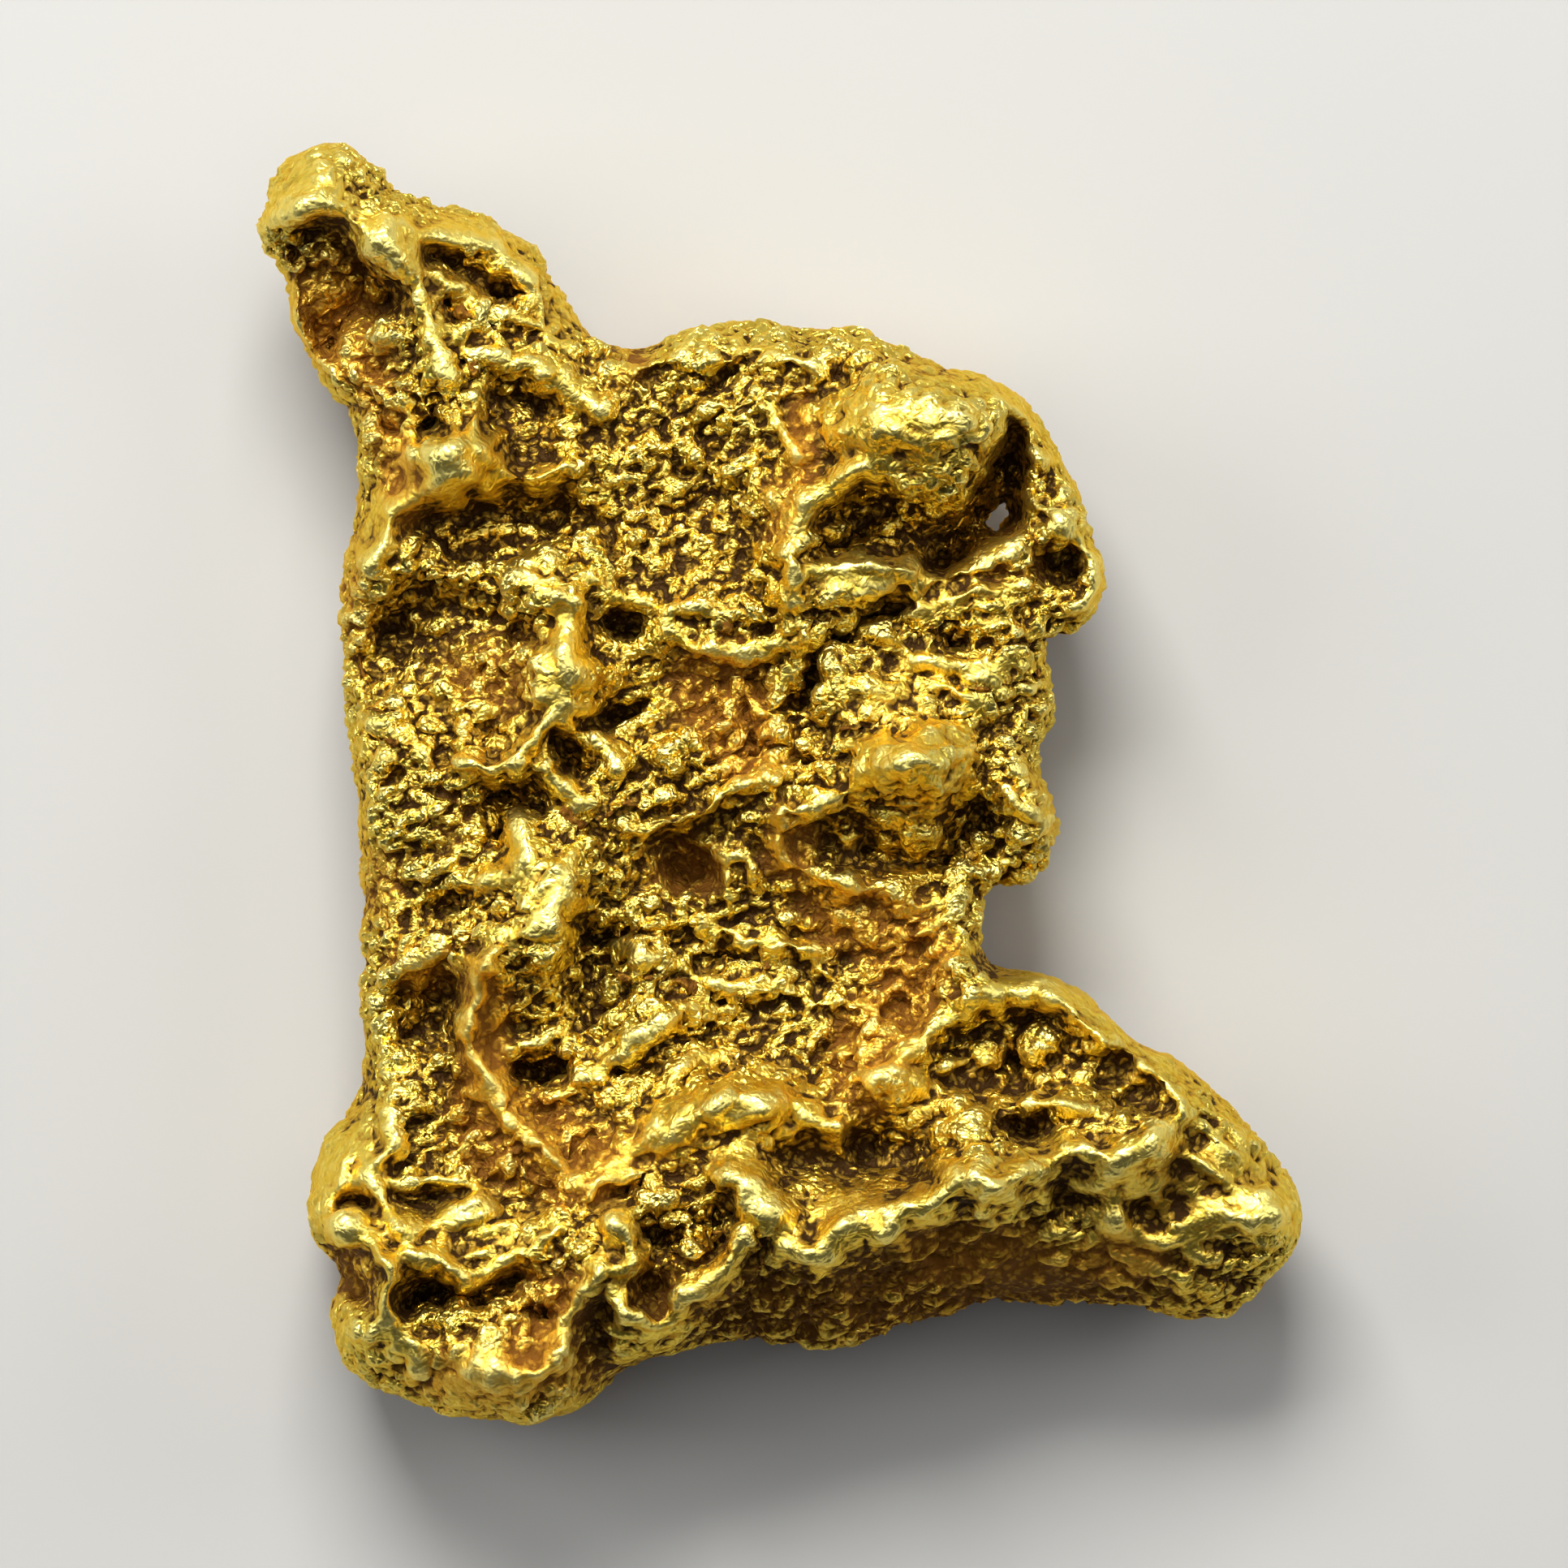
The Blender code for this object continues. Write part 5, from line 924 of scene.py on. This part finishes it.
def grow_grain(skin, relief):
    """Raises the low waves and the hackly grain along the skin's normals."""
    mesh = skin.data
    points = coordinates(mesh)
    normals = normals_of(mesh)
    rough = roughness_map(points, normals, relief)
    push = np.zeros(len(points))
    vectors = [Vector(p) for p in points]
    for waves, height in WAVES:
        push += height * np.array([noise.noise(p * waves) for p in vectors])
    along = Vector((math.cos(GRAIN_LEAN), math.sin(GRAIN_LEAN), 0))
    strata = [p - along * (p.dot(along) * (1 - GRAIN_STRETCH)) for p in vectors]
    grain = np.zeros(len(points))
    for waves, height, bend in GRAIN:
        creased = []
        for p in strata:
            at = p * waves
            creased.append(abs(noise.noise(at + noise.noise_vector(at * BEND_WAVES) * bend)))
        grain += height * (np.minimum(np.array(creased) / CREASE_WIDTH, 1) - CREASE_MIDDLE)
    patchy = smooth_step(0.5 + 1.1 * np.array([noise.noise(p * PATCH_WAVES) for p in strata]))
    grain *= CALM_GRAIN + (ROUGH_GRAIN - CALM_GRAIN) * patchy
    push += grain * (LEAST_GRAIN + (1 - LEAST_GRAIN) * rough)
    points += normals * push[:, None]
    points[points[:, 2] < FLAT_PADS, 2] = 0
    set_coordinates(mesh, points)


def spread(values, edges, rounds):
    """Averages values over neighbouring points, again and again."""
    a, b = edges.T
    count = len(values)
    degree = np.bincount(a, minlength=count) + np.bincount(b, minlength=count)
    degree = np.maximum(degree, 1)
    values = values.copy()
    for _ in range(rounds):
        for k in range(values.shape[1]):
            column = values[:, k]
            total = np.bincount(a, column[b], count) + np.bincount(b, column[a], count)
            values[:, k] = 0.5 * column + 0.5 * total / degree
    return values


def wear_down(skin):
    """Rounds off what stands up most sharply, as a river does."""
    mesh = skin.data
    points = coordinates(mesh)
    around = spread(points, edges_of(mesh), WEAR_ROUNDS)
    proud = ((points - around) * normals_of(mesh)).sum(axis=1)
    worn = MOST_WORN * smooth_step((proud - WORN_FROM) / (WORN_TO - WORN_FROM))
    points += (around - points) * worn[:, None]
    set_coordinates(mesh, points)


def thin_out(skin):
    """Brings the skin under its number of triangles, and keeps the upper side the finest."""
    thinned = skin.vertex_groups.new(name="thinned")
    care = np.round(smooth_step(0.5 + normals_of(skin.data)[:, 2]), 1)
    for step in np.unique(care):
        thinned.add(np.nonzero(care == step)[0].tolist(), 1 - UPPER_SIDE_CARE * float(step), "REPLACE")
    decimate = skin.modifiers.new("facets", "DECIMATE")
    triangles = sum(len(face.vertices) - 2 for face in skin.data.polygons)
    decimate.ratio = min(1.0, MAX_TRIANGLES / triangles)
    decimate.vertex_group = thinned.name
    decimate.vertex_group_factor = CARE_FACTOR
    decimate.use_collapse_triangulate = True
    bake(skin)
    skin.vertex_groups.clear()


def write_maps(skin, relief):
    """Keeps on each point how proud it stands of its surroundings, near and far, its rust and wear, and the
    earth in its hollows together with the painted shade on its sides and lower wall.
    """
    mesh = skin.data
    points = coordinates(mesh)
    normals = normals_of(mesh)
    edges = edges_of(mesh)
    near = spread(points, edges, NEAR_ROUNDS)
    far = spread(near, edges, FAR_ROUNDS)
    plan = points[:, :2]
    read = relief.sheet.read
    above = smooth_step(0.5 + 1.2 * normals[:, 2])
    facing_light = normals @ np.array(LIT_SIDE)
    # painted shade on every side, darkest on the sides that face away from the light
    side_shade = (1 - above) * (SHADE_ON_SIDES + SHADED_SIDES * smooth_step(0.5 - 1.2 * facing_light))
    # the lower wall's rust tint and painted shade, both weaker on its crests
    wall = read(relief.wall, plan) * (1 - WALL_SPARES_CRESTS * read(relief.crest, plan))
    maps = {
        "proud_near": ((points - near) * normals).sum(axis=1),
        "proud_far": ((points - far) * normals).sum(axis=1),
        "rust": np.maximum(read(relief.rust, plan), RUSTY_WALL * wall) * above + RUSTY_SIDES * (1 - above),
        "rough": roughness_map(points, normals, relief),
        # earth in the hollows, plus painted shade on the sides and on the lower wall
        "pit_and_shade": read(relief.hollow, plan) * above + side_shade + WALL_SHADE * wall,
    }
    for name, values in maps.items():
        mesh.attributes.new(name, "FLOAT", "POINT").data.foreach_set("value", values.astype(np.float32))


def set_in_place(skin):
    """Scales the skin to metres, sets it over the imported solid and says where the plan's corner is."""
    points = coordinates(skin.data)
    low, high = points.min(axis=0), points.max(axis=0)
    solid_low, solid_high = (np.array(corner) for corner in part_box("nugget"))
    middle = (low + high) / 2
    middle[2] = low[2]
    target = (solid_low + solid_high) / 2
    target[2] = solid_low[2]
    set_coordinates(skin.data, (points - middle) * MM + target)
    return target - middle * MM


def feed(tree, value, socket):
    """Sets a number or a colour on the socket, and links anything else to it."""
    if isinstance(value, (int, float, tuple)):
        socket.default_value = value
    else:
        tree.links.new(value, socket)


def node(tree, kind, **values):
    made = tree.nodes.new(kind)
    for name, value in values.items():
        setattr(made, name, value)
    return made


def attribute(tree, name):
    return node(tree, "ShaderNodeAttribute", attribute_name=name).outputs["Fac"]


def maths(tree, operation, *values, clamp=False):
    made = node(tree, "ShaderNodeMath", operation=operation, use_clamp=clamp)
    for value, socket in zip(values, made.inputs):
        feed(tree, value, socket)
    return made.outputs[0]


def weighted_sum(tree, terms):
    """Adds up value * weight + offset over the terms."""
    total = 0.0
    for value, weight, offset in terms:
        total = maths(tree, "ADD", total, maths(tree, "MULTIPLY_ADD", value, weight, offset))
    return total


def span(tree, value, low, high, to_low=0.0, to_high=1.0):
    made = node(tree, "ShaderNodeMapRange", clamp=True, interpolation_type="SMOOTHSTEP")
    names = ("Value", "From Min", "From Max", "To Min", "To Max")
    for name, number in zip(names, (value, low, high, to_low, to_high)):
        feed(tree, number, made.inputs[name])
    return made.outputs[0]


def noise_at(tree, where, waves_per_mm, detail, roughness=0.55, output="Fac"):
    made = node(tree, "ShaderNodeTexNoise")
    settings = {"Vector": where, "Scale": waves_per_mm / MM, "Detail": detail, "Roughness": roughness}
    for name, value in settings.items():
        feed(tree, value, made.inputs[name])
    return made.outputs[output]


def blend(tree, factor, a, b):
    """Colour a to colour b."""
    made = node(tree, "ShaderNodeMix", data_type="RGBA")
    for slot, value in ((0, factor), (6, a), (7, b)):
        feed(tree, value, made.inputs[slot])
    return made.outputs[2]


def new_material(name):
    material = bpy.data.materials.new(name)
    material.use_nodes = True
    tree = material.node_tree
    where = node(tree, "ShaderNodeTexCoord").outputs["Object"]
    return material, tree, tree.nodes["Principled BSDF"].inputs, where


def crumb_gaps(tree, where):
    """Grain finer than the mesh: from 0 on domed crumbs to about 1 in the gaps between them."""
    bend = noise_at(tree, where, BEND_PER_MM, 1.0, 0.5, "Color")
    bent = node(tree, "ShaderNodeVectorMath", operation="MULTIPLY_ADD")
    for value, socket in zip((bend, (BEND_REACH * MM,) * 3, where), bent.inputs):
        feed(tree, value, socket)
    crumbs = []
    for per_mm in CRUMBS_PER_MM:
        cells = node(tree, "ShaderNodeTexVoronoi")
        feed(tree, bent.outputs[0], cells.inputs["Vector"])
        feed(tree, per_mm / MM, cells.inputs["Scale"])
        crumbs.append(cells.outputs["Distance"])
    return maths(tree, "MULTIPLY_ADD", crumbs[1], SMALL_CRUMBS, crumbs[0])


def gold_finish():
    material, tree, surface, where = new_material("worn_native_gold")
    near, far = attribute(tree, "proud_near"), attribute(tree, "proud_far")
    rust, rough, pit_and_shade = attribute(tree, "rust"), attribute(tree, "rough"), attribute(tree, "pit_and_shade")
    patches = noise_at(tree, where, 0.35, 2.0)
    specks = noise_at(tree, where, 3.4, 2.0, 0.65)
    fall = crumb_gaps(tree, where)
    # painted shade in the gaps between the crumbs, strongest where the gold is rough
    gap_shade = maths(tree, "MULTIPLY", span(tree, fall, 0.55, 1.0), span(tree, rough, 0.15, 0.8, 0.45, 1.0))

    # how dark a point is painted: below 0 it is bright worn gold, with a painted highlight on the proudest
    # points, and above it turns to bronze and then to earth, which is partly real earth and oxide in the
    # hollows and partly painted shade there, in the gaps between crumbs, on the sides and on the lower wall
    depths = [(near, -7.0, 0.0), (far, -1.0, 0.0), (pit_and_shade, 0.18, 0.0), (rust, 0.22, -0.04)]
    darkness = weighted_sum(tree, depths + [(specks, 0.7, -0.35), (gap_shade, 0.55, 0.0)])
    bronze_and_shade = span(tree, darkness, -0.15, 0.35)
    earth_and_shade = maths(tree, "MULTIPLY", span(tree, darkness, 0.12, 0.62), span(tree, fall, 0.35, 0.8, 0.5, 1.0))
    tint = maths(tree, "MULTIPLY", span(tree, rust, 0.2, 1.0), span(tree, darkness, -0.4, 0.4, 0.6), clamp=True)

    gold = blend(tree, span(tree, patches, 0.35, 0.65), WARM_GOLD, PALE_GOLD)
    gold = blend(tree, span(tree, specks, 0.4, 0.75, 0.0, 0.5), gold, BRIGHT_GOLD)
    gold = blend(tree, maths(tree, "MULTIPLY", tint, 0.7), gold, STAINED_GOLD)
    # the proudest points turn paler: worn gold, and a painted highlight on the crests
    gold = blend(tree, span(tree, darkness, -0.3, -1.1, 0.0, 0.75), gold, CREST_GOLD_AND_HIGHLIGHT)
    gold = blend(tree, maths(tree, "MULTIPLY", bronze_and_shade, 0.7), gold, BRONZE)
    earth_and_shade_colour = blend(tree, span(tree, rust, 0.1, 0.9), DARK_EARTH_AND_SHADE, RUSTY_EARTH_AND_SHADE)
    metal = maths(tree, "MAXIMUM", weighted_sum(tree, [(earth_and_shade, -0.6, 1.0), (tint, -0.15, 0.0)]), 0.1)
    polish = [(rough, -0.10, 0.40), (tint, 0.12, 0.0), (specks, 0.2, -0.1), (earth_and_shade, 0.3, 0.0)]
    bump = node(tree, "ShaderNodeBump")
    feed(tree, maths(tree, "MULTIPLY", fall, -1.0), bump.inputs["Height"])
    feed(tree, span(tree, rough, 0.0, 0.8, 0.4, 1.0), bump.inputs["Strength"])
    feed(tree, BUMP_HEIGHT * MM, bump.inputs["Distance"])
    feed(tree, blend(tree, earth_and_shade, gold, earth_and_shade_colour), surface["Base Color"])
    feed(tree, metal, surface["Metallic"])
    feed(tree, weighted_sum(tree, polish), surface["Roughness"])
    feed(tree, bump.outputs["Normal"], surface["Normal"])
    feed(tree, EARTH_SHEEN, surface["Specular IOR Level"])
    feed(tree, SHEEN_TINT, surface["Specular Tint"])
    return material


def floor_finish():
    material, tree, surface, where = new_material("pale_floor")
    cloud = noise_at(tree, where, CLOUDS_PER_MM, 3.0)
    feed(tree, blend(tree, cloud, *FLOOR_COLOURS), surface["Base Color"])
    feed(tree, FLOOR_ROUGHNESS, surface["Roughness"])
    return material


def make_floor():
    mesh = bpy.data.meshes.new("floor")
    grid = bmesh.new()
    bmesh.ops.create_grid(grid, x_segments=1, y_segments=1, size=FLOOR_HALF)
    grid.to_mesh(mesh)
    grid.free()
    floor = bpy.data.objects.new("floor", mesh)
    bpy.context.scene.collection.objects.link(floor)
    mesh.materials.append(floor_finish())


def light_studio():
    world = bpy.data.worlds.new("studio")
    bpy.context.scene.world = world
    world.use_nodes = True
    background = world.node_tree.nodes["Background"].inputs
    background["Color"].default_value = WORLD_COLOUR
    background["Strength"].default_value = WORLD_STRENGTH
    for name, place, width, height, power, colour in SOFTBOXES:
        light = bpy.data.lights.new(name, "AREA")
        light.shape = "RECTANGLE"
        light.size, light.size_y = width, height
        light.energy = power
        light.color = colour
        lamp = bpy.data.objects.new(name, light)
        lamp.location = place
        lamp.rotation_euler = (Vector(LIGHTS_AIM) - Vector(place)).to_track_quat("-Z", "Y").to_euler()
        bpy.context.scene.collection.objects.link(lamp)


def set_camera(plan_origin):
    """Looks straight down, with each point of the nugget where the photograph has it."""
    camera = bpy.data.cameras.new("camera")
    eye = bpy.data.objects.new("camera", camera)
    bpy.context.scene.collection.objects.link(eye)
    width = PICTURE / PIXELS_PER_MM * MM
    camera.sensor_width = SENSOR_WIDTH
    camera.lens = camera.sensor_width * CAMERA_DISTANCE / width
    camera.clip_start, camera.clip_end = CAMERA_CLIP
    (x, y), = on_plan([(PICTURE / 2, PICTURE / 2)])
    height = SILHOUETTE_HEIGHT + CAMERA_DISTANCE
    eye.location = (x * MM + plan_origin[0], y * MM + plan_origin[1], height)
    eye.rotation_euler = (0, 0, 0)
    bpy.context.scene.camera = eye


def make_nugget():
    relief = Relief()
    skin = silhouette_slab()
    press_relief(skin, relief)
    grow_grain(skin, relief)
    wear_down(skin)
    thin_out(skin)
    write_maps(skin, relief)
    plan_origin = set_in_place(skin)
    skin.data.materials.clear()
    skin.data.materials.append(gold_finish())
    skin.data.shade_smooth()
    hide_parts("nugget")
    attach(skin, "root")
    return plan_origin


origin = make_nugget()
make_floor()
light_studio()
set_camera(origin)
bpy.context.scene.view_settings.view_transform = "Standard"
